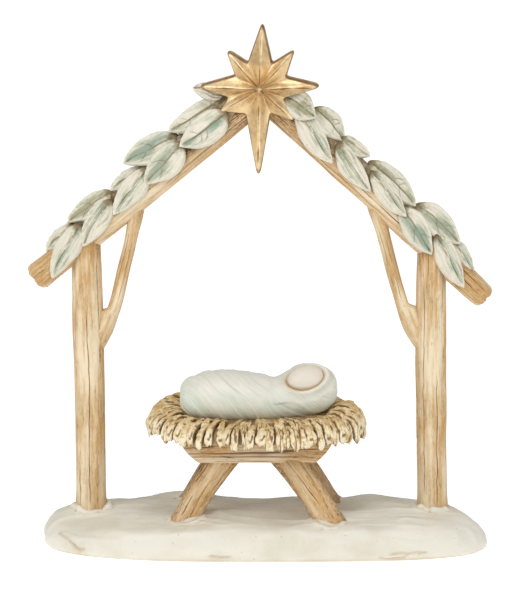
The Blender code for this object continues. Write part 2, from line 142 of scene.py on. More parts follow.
# The swaddled bundle, as shares of its length, height and width: how far along, the top's height,
# the underside's height and the half width
CHILD_SECTIONS = (
    (0.00, 0.78, 0.06, 0.82),
    (0.16, 0.85, 0.01, 0.94),
    (0.38, 0.86, 0.00, 1.00),
    (0.54, 0.79, 0.00, 0.93),
    (0.62, 0.75, 0.02, 0.85),
    (0.74, 0.94, 0.02, 0.84),
    (0.88, 1.05, 0.04, 0.86),
    (1.00, 1.04, 0.10, 0.82),
)

# The ground's profile from the middle of its top, as shares of its reach and of its height
GROUND_PROFILE = (
    (0.00, 0.00, 1.00),
    (0.20, 0.25, 1.00),
    (0.38, 0.47, 1.00),
    (0.53, 0.66, 0.99),
    (0.65, 0.80, 0.96),
    (0.74, 0.90, 0.88),
    (0.82, 0.965, 0.72),
    (0.90, 1.0, 0.42),
    (0.96, 1.0, 0.14),
    (1.00, 0.985, 0.0),
)

# Dents pressed into the ground: the place, the reach and the depth, in millimetres. A depth below
# zero is a hump.
GROUND_DENTS = (
    (-66, -36, 16, 0.9),
    (-24, -38, 12, 0.8),
    (18, -36, 20, 1.0),
    (62, -38, 14, 0.8),
    (-8, 12, 22, 1.2),
    (58, 6, 18, 1.0),
    (-62, 10, 15, 1.0),
    (100, -30, 12, 0.7),
    (-104, -28, 13, 0.7),
    (30, 34, 16, 0.9),
    (-80, 34, 14, 0.8),
    (86, 34, 15, 0.8),
    (-50, 36, 17, -1.9),
    (0, 38, 25, 3.8),
    (42, 40, 15, 2.0),
    (67, 40, 8, -0.8),
    (-18, -14, 12, -0.9),
    (44, -16, 13, -0.9),
    (-84, -18, 12, -0.7),
    (84, -20, 12, 0.8),
    (-44, -38, 10, 1.6),
    (40, -41, 11, 3.0),
    (-42, 17, 9, 1.4),
    (40, 16, 9, 1.6),
    (102, -11, 9, 1.8),
    (-100, -11, 9, 1.0),
)

# Short creases in the ground's front wall: points along each, in millimetres (X and Z)
GROUND_CREASES = (
    ((-117.5, 11.0), (-114.5, 9.6), (-112.0, 8.9), (-109.0, 6.2), (-105.5, 4.4), (-102.5, 4.2)),
    ((-109.0, 6.2), (-107.8, 4.4), (-104.5, 3.0)),
    ((68, 2.0), (73, 1.3), (78, 2.2), (81, 2.0), (84, 4.6), (89, 5.0), (94, 4.4)),
    ((74, 4.2), (79, 5.0), (84, 4.6)),
    ((-30, 3.4), (-24, 2.4), (-19, 2.8)),
)

# Cracks carved along the posts, poles, branches and legs: the angle from the front towards the right,
# the shares of the length where each starts and ends, and its width and depth in millimetres
LEFT_POST_CRACKS = (
    (0.08, 0.03, 0.82, 0.30, 0.55),
    (-0.62, 0.02, 0.38, 0.26, 0.40),
    (0.95, 0.50, 0.98, 0.28, 0.45),
    (-0.95, 0.55, 0.90, 0.24, 0.30),
    (2.6, 0.10, 0.85, 0.32, 0.50),
)
RIGHT_POST_CRACKS = (
    (-0.52, 0.04, 0.97, 0.30, 0.55),
    (0.30, 0.02, 0.62, 0.32, 0.60),
    (-0.16, 0.00, 0.14, 0.26, 0.45),
    (0.82, 0.48, 0.98, 0.26, 0.40),
    (-2.7, 0.15, 0.90, 0.32, 0.50),
)
POLE_CRACKS = (
    (0.62, 0.12, 0.66, 0.28, 0.45),
    (0.15, 0.40, 1.05, 0.28, 0.50),
    (1.05, 0.02, 0.55, 0.26, 0.40),
    (-0.40, 0.70, 1.10, 0.28, 0.45),
    (0.15, 0.00, 0.30, 0.26, 0.40),
    (-0.40, 0.02, 0.55, 0.26, 0.40),
    (1.05, 0.62, 1.05, 0.26, 0.40),
    (2.9, 0.10, 0.90, 0.30, 0.45),
)
BRANCH_CRACKS = (
    (0.20, 0.36, 0.85, 0.22, 0.30),
    (-0.55, 0.45, 0.92, 0.22, 0.30),
    (2.8, 0.20, 0.80, 0.24, 0.30),
)
LEG_CRACKS = (
    (0.05, 0.05, 0.98, 0.26, 0.55),
    (0.62, 0.25, 1.00, 0.24, 0.40),
    (-0.55, 0.00, 0.70, 0.24, 0.40),
    (-0.95, 0.30, 0.95, 0.24, 0.35),
    (3.0, 0.10, 0.90, 0.28, 0.45),
)


def linear(red, green, blue):
    """A colour given from 0 to 255 as it looks on a screen, in the linear values that shaders take."""
    shares = (c / 255 for c in (red, green, blue))
    return tuple(c / 12.92 if c <= 0.04045 else ((c + 0.055) / 1.055) ** 2.4 for c in shares)


def length_prop(name, description, default):
    return FloatProperty(
        name=name, description=description, default=default, unit="LENGTH", subtype="DISTANCE", precision=5
    )


def colour_prop(name, description, red, green, blue):
    return FloatVectorProperty(
        name=name, description=description, default=linear(red, green, blue), size=3,
        min=0.0, max=1.0, subtype="COLOR",
    )


class FigurineSizes(bpy.types.PropertyGroup):
    """Sizes of the figurine's forms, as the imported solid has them."""

    ground_left: length_prop("Ground left", "Reach of the ground to the left", 0.1275)
    ground_right: length_prop("Ground right", "Reach of the ground to the right", 0.1290)
    ground_depth: length_prop("Ground half depth", "Half the ground's depth", 0.049)
    ground_height: length_prop("Ground height", "Height of the ground's top", 0.0212)
    ground_swell: length_prop("Ground swell", "Height of the soft swells on top", 0.0016)
    collar: length_prop("Foot collar", "Rise of the ground round each foot", 0.0027)
    post_x: length_prop("Post distance", "Distance of each post from the middle", 0.1005)
    post_lean: length_prop("Post lean", "How far a post's head stands to the left", 0.0018)
    post_foot: length_prop("Post foot radius", "Radius of a post at its foot", 0.0088)
    post_head: length_prop("Post head radius", "Radius of a post at its head", 0.0081)
    foot_depth: length_prop("Foot depth", "How deep a post goes into the ground", 0.006)
    apex: length_prop("Apex height", "Height where the roof poles cross", 0.262)
    pole_apex: length_prop("Pole apex radius", "Radius of a roof pole at the apex", 0.0062)
    pole_eave: length_prop("Pole eave radius", "Radius of a roof pole at its eave", 0.0075)
    branch_radius: length_prop("Branch radius", "Radius of a forked branch", 0.0041)
    leaf_thickness: length_prop("Leaf thickness", "Thickness of a leaf at its rib", 0.0034)
    manger_x: length_prop("Manger place", "Where the manger stands along X", -0.0032)
    leg_height: length_prop("Leg height", "Height of the trough over the ground", 0.0323)
    trough_depth: length_prop("Trough depth", "Height of the trough's side", 0.013)
    straw_thickness: length_prop("Straw thickness", "Thickness of the straw", 0.017)
    child_length: length_prop("Child length", "Length of the swaddled bundle", 0.092)
    child_height: length_prop("Child height", "Height of the swaddled bundle", 0.0353)
    child_width: length_prop("Child width", "Width of the swaddled bundle", 0.042)
    grain_depth: length_prop("Grain depth", "Depth of the carved wood grain", 0.00032)
    fold_depth: length_prop("Fold depth", "Depth of the cloth's folds", 0.00100)
    tuft_count: IntProperty(
        name="Straw tufts", description="Tufts of straw round the rim", default=66, min=20, max=120
    )
    leaf_curl: FloatProperty(
        name="Leaf curl", description="How far a leaf's ends curl back", default=0.10, subtype="FACTOR"
    )


class FigurineColours(bpy.types.PropertyGroup):
    """Colours of the hand-painted finish."""

    ground: colour_prop("Ground", "Cream of the ground", 226, 222, 208)
    ground_shade: colour_prop("Ground shade", "Warm shade in the ground's dents", 203, 194, 173)
    timber: colour_prop("Timber", "Tan of the posts and poles", 217, 190, 144)
    timber_pale: colour_prop("Timber pale", "Cream brushed on the timber's ridges", 233, 218, 188)
    # Also laid as painted shade where other parts cover the timber.
    timber_deep: colour_prop("Timber deep", "Brown glaze on the timber", 188, 142, 80)
    # The wash also lays painted shade on the leaves' undersides and bases.
    wash: colour_prop("Wash", "Dark brown wash in the cracks", 82, 51, 22)
    leaf: colour_prop("Leaf", "Pale sage of the leaves", 191, 194, 169)
    leaf_teal: colour_prop("Leaf teal", "Teal glaze in the leaves' hollows", 134, 163, 150)
    leaf_cream: colour_prop("Leaf cream", "Cream of the leaves' edges", 220, 214, 196)
    # The olive also lays painted shade at the leaves' bases, on their undersides and on the garland core.
    leaf_olive: colour_prop("Leaf olive", "Olive wash in the ribs and between the leaves", 126, 108, 66)
    gold: colour_prop("Gold", "Antique gold of the star", 235, 206, 157)
    # Also the painted shade on the star's facets.
    gold_shade: colour_prop("Gold shade", "Brown in the star's valleys", 138, 102, 62)
    straw: colour_prop("Straw", "Ochre of the straw", 212, 182, 126)
    straw_pale: colour_prop("Straw tips", "Cream of the straw's tips", 238, 226, 196)
    straw_ochre: colour_prop("Straw ochre", "Deeper ochre glaze on the straw", 182, 144, 82)
    straw_shade: colour_prop("Straw shade", "Brown between the straws", 112, 80, 42)
    cloth: colour_prop("Cloth", "Pale mint of the swaddling cloth", 212, 219, 204)
    cloth_pale: colour_prop("Cloth pale", "Cream of the cloth's ridges", 224, 221, 208)
    cloth_shade: colour_prop("Cloth shade", "Grey green in the cloth's folds", 180, 190, 174)
    face: colour_prop("Face", "Ivory of the face", 221, 214, 201)
    # The tan lays painted shade in the hood's gap and on the face's rim.
    face_gap: colour_prop("Hood gap", "Tan in the gap round the face", 190, 162, 120)
    floor: colour_prop("Floor", "Pale studio floor", 190, 190, 190)


# Sums on arrays


def clamp(values):
    """Values held between 0 and 1."""
    return np.clip(values, 0, 1)


def joined(*parts):
    """Vectors whose parts are spread over one grid."""
    return np.stack(np.broadcast_arrays(*parts), -1)


def circle(count):
    """Evenly spaced angles all round."""
    return np.arange(count) * 2 * math.pi / count


def angle_within(angle):
    """An angle brought to within half a turn either way."""
    return np.angle(np.exp(1j * angle))


def run_along(points):
    """The distance along a line of points at each of them."""
    return np.concatenate([[0], np.cumsum(np.linalg.norm(np.diff(points, axis=0), axis=1))])


def moved(points, place):
    """Points taken to a place that a matrix gives."""
    place = np.array(place)
    return points @ place[:3, :3].T + place[:3, 3]


def cell_value(cells, seed):
    """A repeatable number from 0 to 1 for each whole-number cell."""
    x, y, z = (cells[..., axis].astype(np.int64) for axis in range(3))
    mixed = (x * 73856093) ^ (y * 19349663) ^ (z * 83492791) ^ (seed * 40503 + 977)
    for factor in (1274126177, 668265263):
        mixed = (mixed ^ (mixed >> 13)) & 0x7FFFFFFF
        mixed = (mixed * factor) & 0x7FFFFFFF
    return ((mixed ^ (mixed >> 15)) & 0xFFFF) / 65535.0


def soft_noise(points, seed):
    """Smooth noise from -1 to 1 at each point."""
    base = np.floor(points)
    part = points - base
    part = part * part * (3 - 2 * part)
    total = 0.0
    for corner in np.ndindex(2, 2, 2):
        weight = np.prod(np.where(np.array(corner) == 1, part, 1 - part), axis=-1)
        total = total + weight * cell_value(base + corner, seed)
    return total * 2 - 1


def layered_noise(points, layers, seed):
    """Smooth noise with finer and weaker layers added, still from about -1 to 1."""
    total = sum(0.5**n * soft_noise(points * 2**n, seed + 31 * n) for n in range(layers))
    return total / (2 - 0.5 ** (layers - 1))


def step_between(low, high, value):
    """0 below low and 1 above high, with a smooth rise between them."""
    share = clamp((value - low) / (high - low))
    return share * share * (3 - 2 * share)


def line_of(values, half_width, power=1):
    """1 where a value passes through 0, falling to nothing at the half width on either side."""
    return clamp(1 - np.abs(values) / half_width) ** power


def signed_power(values, power):
    """Values raised to a power, each with its own sign kept."""
    return np.sign(values) * np.abs(values) ** power


def rounded_box(c, s, power):
    """The reach of a box with rounded corners in each direction, squarer as the power grows."""
    return (np.abs(c) ** power + np.abs(s) ** power) ** (-1 / power)


def mound(distance, reach):
    """1 where the distance is 0, falling softly to nothing past the reach."""
    return np.exp(-((distance / reach) ** 2))


def unit(vectors):
    """Vectors brought to length 1."""
    return vectors / np.maximum(np.linalg.norm(vectors, axis=-1, keepdims=True), 1e-12)


def smooth_table(rows, shares):
    """The numbers of a table at each share along it, on a smooth curve through its rows."""
    rows = np.array(rows)
    last = len(rows) - 1
    at = np.clip(np.searchsorted(rows[:, 0], shares, side="left") - 1, 0, last - 1)
    start, end = rows[at], rows[at + 1]
    before, after = rows[np.maximum(at - 1, 0)], rows[np.minimum(at + 2, last)]
    t = ((shares - start[..., 0]) / (end[..., 0] - start[..., 0]))[..., None]
    p0, p1, p2, p3 = before[..., 1:], start[..., 1:], end[..., 1:], after[..., 1:]
    found = p1 + 0.5 * t * (
        p2 - p0 + t * (2 * p0 - 5 * p1 + 4 * p2 - p3 + t * (3 * p1 - p0 - 3 * p2 + p3))
    )
    return [found[..., column] for column in range(found.shape[-1])]


# Meshes


def place_object(name, data):
    """Puts a mesh, a light or a camera into the scene."""
    obj = bpy.data.objects.new(name, data)
    bpy.context.scene.collection.objects.link(obj)
    return obj


def store_field(mesh, name, values, kind="FLOAT"):
    """Stores a number or a vector for each point of a mesh."""
    data = mesh.attributes.new(name, kind, "POINT").data
    flat = np.array(values, np.int32 if kind == "INT" else np.float32).ravel()
    data.foreach_set("vector" if kind == "FLOAT_VECTOR" else "value", flat)


def closed_grid(name, rings, fields, material, first=None, last=None):
    """A closed surface through rings of points, with a pole at each end.

    The fields hold a number or a vector for each point, and become attributes for the paint.
    """
    count, columns = rings.shape[:2]
    poles = [rings[0].mean(axis=0) if first is None else first]
    poles.append(rings[-1].mean(axis=0) if last is None else last)
    points = np.concatenate([rings.reshape(-1, 3), poles])
    index = np.arange(count * columns).reshape(count, columns)
    here, beyond = index[:-1], index[1:]
    quads = joined(here, np.roll(here, -1, 1), np.roll(beyond, -1, 1), beyond).reshape(-1, 4)
    fans = np.concatenate([
        joined(len(points) - 2, np.roll(index[0], -1), index[0]),
        joined(len(points) - 1, index[-1], np.roll(index[-1], -1)),
    ])
    volume = 0.0
    for faces in (fans, quads[:, (0, 1, 2)], quads[:, (0, 2, 3)]):
        a, b, c = points[faces].swapaxes(0, 1)
        volume += (a * np.cross(b, c)).sum()
    if volume < 0:
        quads, fans = quads[:, ::-1], fans[:, ::-1]

    mesh = bpy.data.meshes.new(name)
    loops = np.concatenate([quads.ravel(), fans.ravel()]).astype(np.int32)
    starts = np.concatenate([np.arange(len(quads)) * 4, len(quads) * 4 + np.arange(len(fans)) * 3])
    mesh.vertices.add(len(points))
    mesh.vertices.foreach_set("co", points.astype(np.float32).ravel())
    mesh.loops.add(len(loops))
    mesh.loops.foreach_set("vertex_index", loops)
    mesh.polygons.add(len(starts))
    mesh.polygons.foreach_set("loop_start", starts.astype(np.int32))
    mesh.update(calc_edges=True)
    for field, values in fields.items():
        vector = values.ndim == 3
        flat = values.reshape(-1, 3) if vector else values.reshape(-1)
        flat = np.concatenate([flat, [values[0].mean(axis=0)], [values[-1].mean(axis=0)]])
        store_field(mesh, field, flat, "FLOAT_VECTOR" if vector else "FLOAT")
    if material:
        mesh.materials.append(material)
    return place_object(name, mesh)


def dress(obj):
    """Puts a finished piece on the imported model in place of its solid."""
    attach(obj, BODY)
    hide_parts(NODE)


def grid_normals(points):
    """The outward direction at each point of a grid of rings."""
    along = np.gradient(points, axis=0)
    around = np.roll(points, -1, 1) - np.roll(points, 1, 1)
    normals = unit(np.cross(along, around))
    outward = points - points.mean(axis=1, keepdims=True)
    middle = len(points) // 2
    return normals * math.copysign(1, (normals[middle] * outward[middle]).sum())


# Nodes


class Shade:
    """A node's output that takes part in sums written in Python."""

    def __init__(self, nodes, socket):
        self.nodes, self.socket = nodes, socket

    def maths(self, operation, first, second):
        return self.nodes.add("ShaderNodeMath", {"operation": operation}, {0: first, 1: second})

    def __add__(self, other):
        return self.maths("ADD", self, other)

    def __sub__(self, other):
        return self.maths("SUBTRACT", self, other)

    def __rsub__(self, other):
        return self.maths("SUBTRACT", other, self)

    def __mul__(self, other):
        return self.maths("MULTIPLY", self, other)

    __radd__, __rmul__ = __add__, __mul__

    def rise(self, low, high):
        """0 where this is below low and 1 where it is above high, or the other way round."""
        sockets = {"Value": self, "From Min": low, "From Max": high}
        return self.nodes.add("ShaderNodeMapRange", {"interpolation_type": "SMOOTHSTEP"}, sockets)


class Nodes:
    """A node tree while it is being laid out."""

    def __init__(self, tree):
        self.tree = tree

    def feed(self, socket, value):
        value = value.socket if isinstance(value, Shade) else value
        if isinstance(value, bpy.types.NodeSocket):
            self.tree.links.new(value, socket)
        else:
            socket.default_value = (*value[:3], 1.0) if socket.type == "RGBA" else value

    def add(self, kind, settings=None, sockets=None, output=0):
        """Adds a node with its settings, then its sockets' values or links, and gives its output."""
        node = self.tree.nodes.new(kind)
        for name, value in (settings or {}).items():
            setattr(node, name, value)
        for name, value in (sockets or {}).items():
            self.feed(node.inputs[name], value)
        return Shade(self, node.outputs[output])


class Paint(Nodes):
    """A material while it is being painted, from its first colour to its last coat."""

    def __init__(self, name, colour, metallic=0.0):
        self.material = bpy.data.materials.new(name)
        self.material.use_nodes = True
        super().__init__(self.material.node_tree)
        self.shader = self.tree.nodes["Principled BSDF"].inputs
        self.shader["Metallic"].default_value = metallic
        self.colour = colour

    def field(self, name, output="Fac"):
        return self.add("ShaderNodeAttribute", {"attribute_name": name}, output=output)

    def place(self):
        return self.add("ShaderNodeTexCoord", output="Object")

    def noise(self, place, scale, detail=3.0, stretch=(1, 1, 1)):
        """Noise over a place, drawn out along the axes whose stretch is small."""
        if stretch != (1, 1, 1):
            place = self.add("ShaderNodeMapping", None, {"Vector": place, "Scale": stretch})
        sockets = {"Vector": place, "Scale": scale, "Detail": detail}
        return self.add("ShaderNodeTexNoise", None, sockets, "Fac")

    def coat(self, share, colour):
        """Lays a colour over what is there, thicker as the share goes from 0 to 1."""
        settings = {"data_type": "RGBA", "clamp_factor": True}
        self.colour = self.add("ShaderNodeMix", settings, {0: share, 6: self.colour, 7: colour}, 2)

    def finish(self, roughness, height=None, depth=0.0):
        """Ends the material with its colour, its roughness and a fine relief of the given depth."""
        self.feed(self.shader["Base Color"], self.colour)
        self.feed(self.shader["Roughness"], roughness)
        if height is not None:
            sockets = {"Height": height, "Distance": depth, "Strength": 1.0}
            self.feed(self.shader["Normal"], self.add("ShaderNodeBump", None, sockets))
        return self.material


def paint_ground(colours):
    """Matt cream with faint warm clouds, a few tan specks, and painted shade in the dents."""
    paint = Paint("ground_cream", colours.ground)
    place = paint.place()
    clouds, grain = paint.noise(place, 45.0, 5.0), paint.noise(place, 900.0, 4.0)
    specks = paint.noise(place, 420.0, 1.0).rise(0.735, 0.775)
    paint.coat(clouds.rise(0.40, 0.66) * 0.45, colours.ground_shade)
    paint.coat(grain.rise(0.50, 0.72) * 0.16, colours.ground_shade)
    # Painted shade in the dents and the troughs of the folds
    paint.coat(paint.field("hollow") * 0.55, colours.ground_shade)
    paint.coat(paint.field("ridge").rise(0.3, 1.0) * 0.6, colours.cloth_pale)
    # Dark lines round the feet and along the creases, and a darker foot to the wall
    paint.coat(paint.field("stain_and_shade") * 0.8, colours.timber_deep)
    paint.coat(specks * 0.38, colours.timber_deep)
    return paint.finish(0.40 + 0.2 * grain, grain * 0.6 + clouds, 0.00018)


def paint_timber(colours):
    """Tan with a brown glaze along the grain, dark cracks, cream brushed over the ridges, and painted
    shade.
    """
    paint = Paint("driftwood_paint", colours.timber)
    fibre = paint.field("fibre", "Vector")
    streaks = paint.noise(fibre, 560.0, 5.0, (1, 1, 0.055))
    fine = paint.noise(fibre, 1900.0, 3.0, (1, 1, 0.09))
    clouds = paint.noise(fibre, 85.0, 4.0, (1, 1, 0.30))
    flecks = paint.noise(fibre, 1500.0, 3.0, (1, 1, 0.30))
    stain_and_shade = paint.field("stain_and_shade")
    paint.coat(clouds.rise(0.36, 0.62) * 0.8, colours.timber_pale)
    paint.coat(streaks.rise(0.46, 0.66) * 0.52 + clouds.rise(0.58, 0.34) * 0.60, colours.timber_deep)
    # Stains at the ends and on the bark, and painted shade under the garlands, the crossing pole and the
    # trough, all come through this field.
    paint.coat(stain_and_shade.rise(0.0, 1.0) * 0.6, colours.timber_deep)
    # Thin lines follow the grain where this noise passes through its middle value.
    off_middle = streaks - 0.5
    lines = (1.0 - (off_middle * off_middle).rise(0.0, 0.0004)) * clouds.rise(0.64, 0.40)
    paint.coat(lines * (0.42 + 0.35 * stain_and_shade), colours.wash)
    paint.coat(fine.rise(0.58, 0.74) * 0.34, colours.wash)
    paint.coat(stain_and_shade.rise(0.6, 1.4) * flecks.rise(0.45, 0.62) * 0.80, colours.wash)
    paint.coat(flecks.rise(0.42, 0.32) * 0.40, colours.timber_pale)
    paint.coat(paint.field("hollow").rise(0.22, 0.90) * 0.88, colours.wash)
    paint.coat(paint.field("ridge").rise(0.5, 1.0) * fine.rise(0.62, 0.42) * 0.35, colours.timber_pale)
    return paint.finish(0.5 + 0.25 * streaks, streaks + 0.6 * fine, 0.00022)


def paint_leaves(colours):
    """Cream on the lips and ridges, sage between, teal or an olive wash in the hollows, and painted shade.
    """
    paint = Paint("leaf_paint", colours.leaf_cream)
    fibre = paint.field("fibre", "Vector")
    brushing = paint.noise(fibre, 620.0, 4.0, (1, 0.14, 1))
    scratches = paint.noise(fibre, 1700.0, 3.0, (1, 0.09, 1))
    grain = paint.noise(paint.place(), 520.0, 5.0)
    tint, hollow, shade = paint.field("tone"), paint.field("hollow"), paint.field("shade")
    uneven = brushing - 0.5
    paint.coat((shade + uneven).rise(0.05, 0.80), colours.leaf)
    paint.coat((shade + uneven * 1.2).rise(0.20, 0.95) * tint.rise(0.05, 0.80), colours.leaf_teal)
    olive = (shade * 0.5 + brushing * 0.7 + grain * 0.6).rise(0.72, 1.15) * (1.0 - 0.85 * tint)
    paint.coat(olive * 0.60, colours.leaf_olive)
    paint.coat(scratches.rise(0.54, 0.68) * 0.22, colours.leaf_olive)
    # The rib is a thin dark line, broken here and there.
    off_rib = paint.add("ShaderNodeSeparateXYZ", None, {"Vector": fibre}, "X")
    rib = (1.0 - (off_rib * off_rib).rise(0.0, 0.00000011)) * paint.field("rib").rise(0.2, 0.8)
    paint.coat(rib * grain.rise(0.36, 0.58) * 0.60, colours.leaf_olive)
    # The stems and the core get a grainy olive wash as painted shade, where the leaves tuck under one
    # another.
    paint.coat(paint.field("stem") * grain.rise(0.38, 0.58) * 0.85, colours.leaf_olive)
    # Olive and dark brown follow the hollow field: wash in the rib and veins, painted shade at the bases
    # and on the undersides.
    paint.coat(hollow.rise(0.12, 0.75) * 0.85, colours.leaf_olive)
    paint.coat(hollow.rise(0.62, 1.0) * 0.8, colours.wash)
    paint.coat(paint.field("ridge").rise(0.25, 0.85) * grain.rise(0.68, 0.50) * 0.9, colours.leaf_cream)
    return paint.finish(0.34 + 0.22 * brushing, scratches + brushing, 0.00014)


def paint_star(colours):
    """Antique gold, rubbed bright on the ridges, brown in the valleys and rim, painted highlight and shade.
    """
    paint = Paint("star_gilding", colours.gold, metallic=0.68)
    place = paint.place()
    clouds, brushing = paint.noise(place, 130.0, 4.0), paint.noise(place, 520.0, 4.0)
    shade = paint.field("hollow").rise(0.10, 1.0)
    worn = (clouds + brushing * 0.4).rise(0.60, 0.92) * 0.34
    paint.coat(worn + shade * 0.9, colours.gold_shade)
    # The pale coat is rubbed gilding on the ridges and painted highlight on their up-right sides.
    paint.coat(paint.field("ridge").rise(0.20, 0.90) * clouds.rise(0.66, 0.40) * 0.50, colours.straw_pale)
    return paint.finish(0.28 + 0.16 * clouds + 0.25 * shade, brushing + clouds, 0.00010)


def paint_straw(colours):
    """Ochre straw mottled with cream, pale ragged tips, brown in the pits and gaps, and painted shade
    underneath.
    """
    paint = Paint("straw_paint", colours.straw)
    place = paint.place()
    streaks = paint.noise(paint.field("fibre", "Vector"), 620.0, 4.0, (1, 0.28, 1))
    mottle, clouds = paint.noise(place, 520.0, 4.0), paint.noise(place, 150.0, 3.0)
    tone, tip = paint.field("tone"), paint.field("tip")
    paint.coat(mottle.rise(0.44, 0.62) * 0.7, colours.straw_pale)
    ochre = (clouds + tone * 0.2).rise(0.50, 0.78) * 0.55 + streaks.rise(0.48, 0.34) * 0.5
    paint.coat(ochre * (1.0 - 0.6 * tip), colours.straw_ochre)
    paint.coat(tip * (mottle + streaks).rise(0.80, 1.04), colours.straw_pale)
    paint.coat(paint.field("hollow").rise(0.20, 0.95) * 0.90, colours.straw_shade)
    return paint.finish(0.6 + 0.15 * clouds, streaks + mottle, 0.00030)


def paint_cloth(colours):
    """Cream cloth that turns mint towards its underside, with fine scratches along its folds."""
    paint = Paint("swaddle_paint", colours.cloth_pale)
    brushing = paint.noise(paint.field("fibre", "Vector"), 20.0, 5.0, (1, 0.10, 1))
    clouds = paint.noise(paint.place(), 80.0, 4.0)
    tone = paint.field("tone")
    paint.coat((clouds + tone * 0.30).rise(0.46, 0.90) + tone * 0.30, colours.cloth)
    paint.coat(brushing.rise(0.50, 0.68) * (0.30 + 0.35 * tone), colours.cloth_shade)
    # Grey green in the folds and near the straw, with painted shade under the hood's rim.
    paint.coat(paint.field("hollow") * 0.75, colours.cloth_shade)
    paint.coat(paint.field("ridge").rise(0.3, 1.0) * brushing.rise(0.60, 0.40) * 0.6, colours.cloth_pale)
    specks = paint.noise(paint.place(), 380.0, 2.0).rise(0.62, 0.72)
    # The tan is painted shade in the gap and the hollow round the face, and darkens the cloth near the
    # straw, mottled with specks.
    paint.coat(paint.field("stain_and_shade") * (0.7 + 0.3 * specks), colours.face_gap)
    return paint.finish(0.48 + 0.15 * clouds, brushing, 0.00016)


def paint_face(colours):
    """Smooth ivory, with tan painted shade at its rim where it sinks into the hood."""
    paint = Paint("face_paint", colours.face)
    clouds = paint.noise(paint.place(), 160.0, 3.0)
    paint.coat(paint.field("stain_and_shade") * 0.8 + clouds * 0.12, colours.face_gap)
    return paint.finish(0.42 + 0.1 * clouds, clouds, 0.00004)


# The ground


def ground_swell(x, y, sizes):
    """The height of the ground's top with its soft swells, the same as on the solid."""
    swells = [noise.noise(Vector((px * 28, py * 38, 0.4))) for px, py in zip(x.ravel(), y.ravel())]
    return sizes.ground_height + sizes.ground_swell * np.array(swells).reshape(x.shape)


def ground_at(x, y, sizes):
    """The height of the ground's top at one place."""
    return float(ground_swell(np.array([x]), np.array([y]), sizes)[0])


def foot_places(sizes):
    """Where the posts and legs go into the ground: the place and the radius of each."""
    posts = [(sign * sizes.post_x, 0.0, sizes.post_foot) for sign in (-1, 1)]
    return posts + [(sizes.manger_x + x, y + 0.0005, half) for _, x, y, half in MANGER_LEGS]


def line_distance(x, z, points):
    """The distance, in millimetres, from each place to a line through points in millimetres."""
    nearest = np.full(np.shape(x), 1e3)
    for (ax, az), (bx, bz) in zip(points[:-1], points[1:]):
        run = np.hypot(bx - ax, bz - az)
        along = clamp(((x - ax) * (bx - ax) + (z - az) * (bz - az)) / run**2)
        away = np.hypot(x - ax - along * (bx - ax), z - az - along * (bz - az))
        nearest = np.minimum(nearest, away)
    return nearest


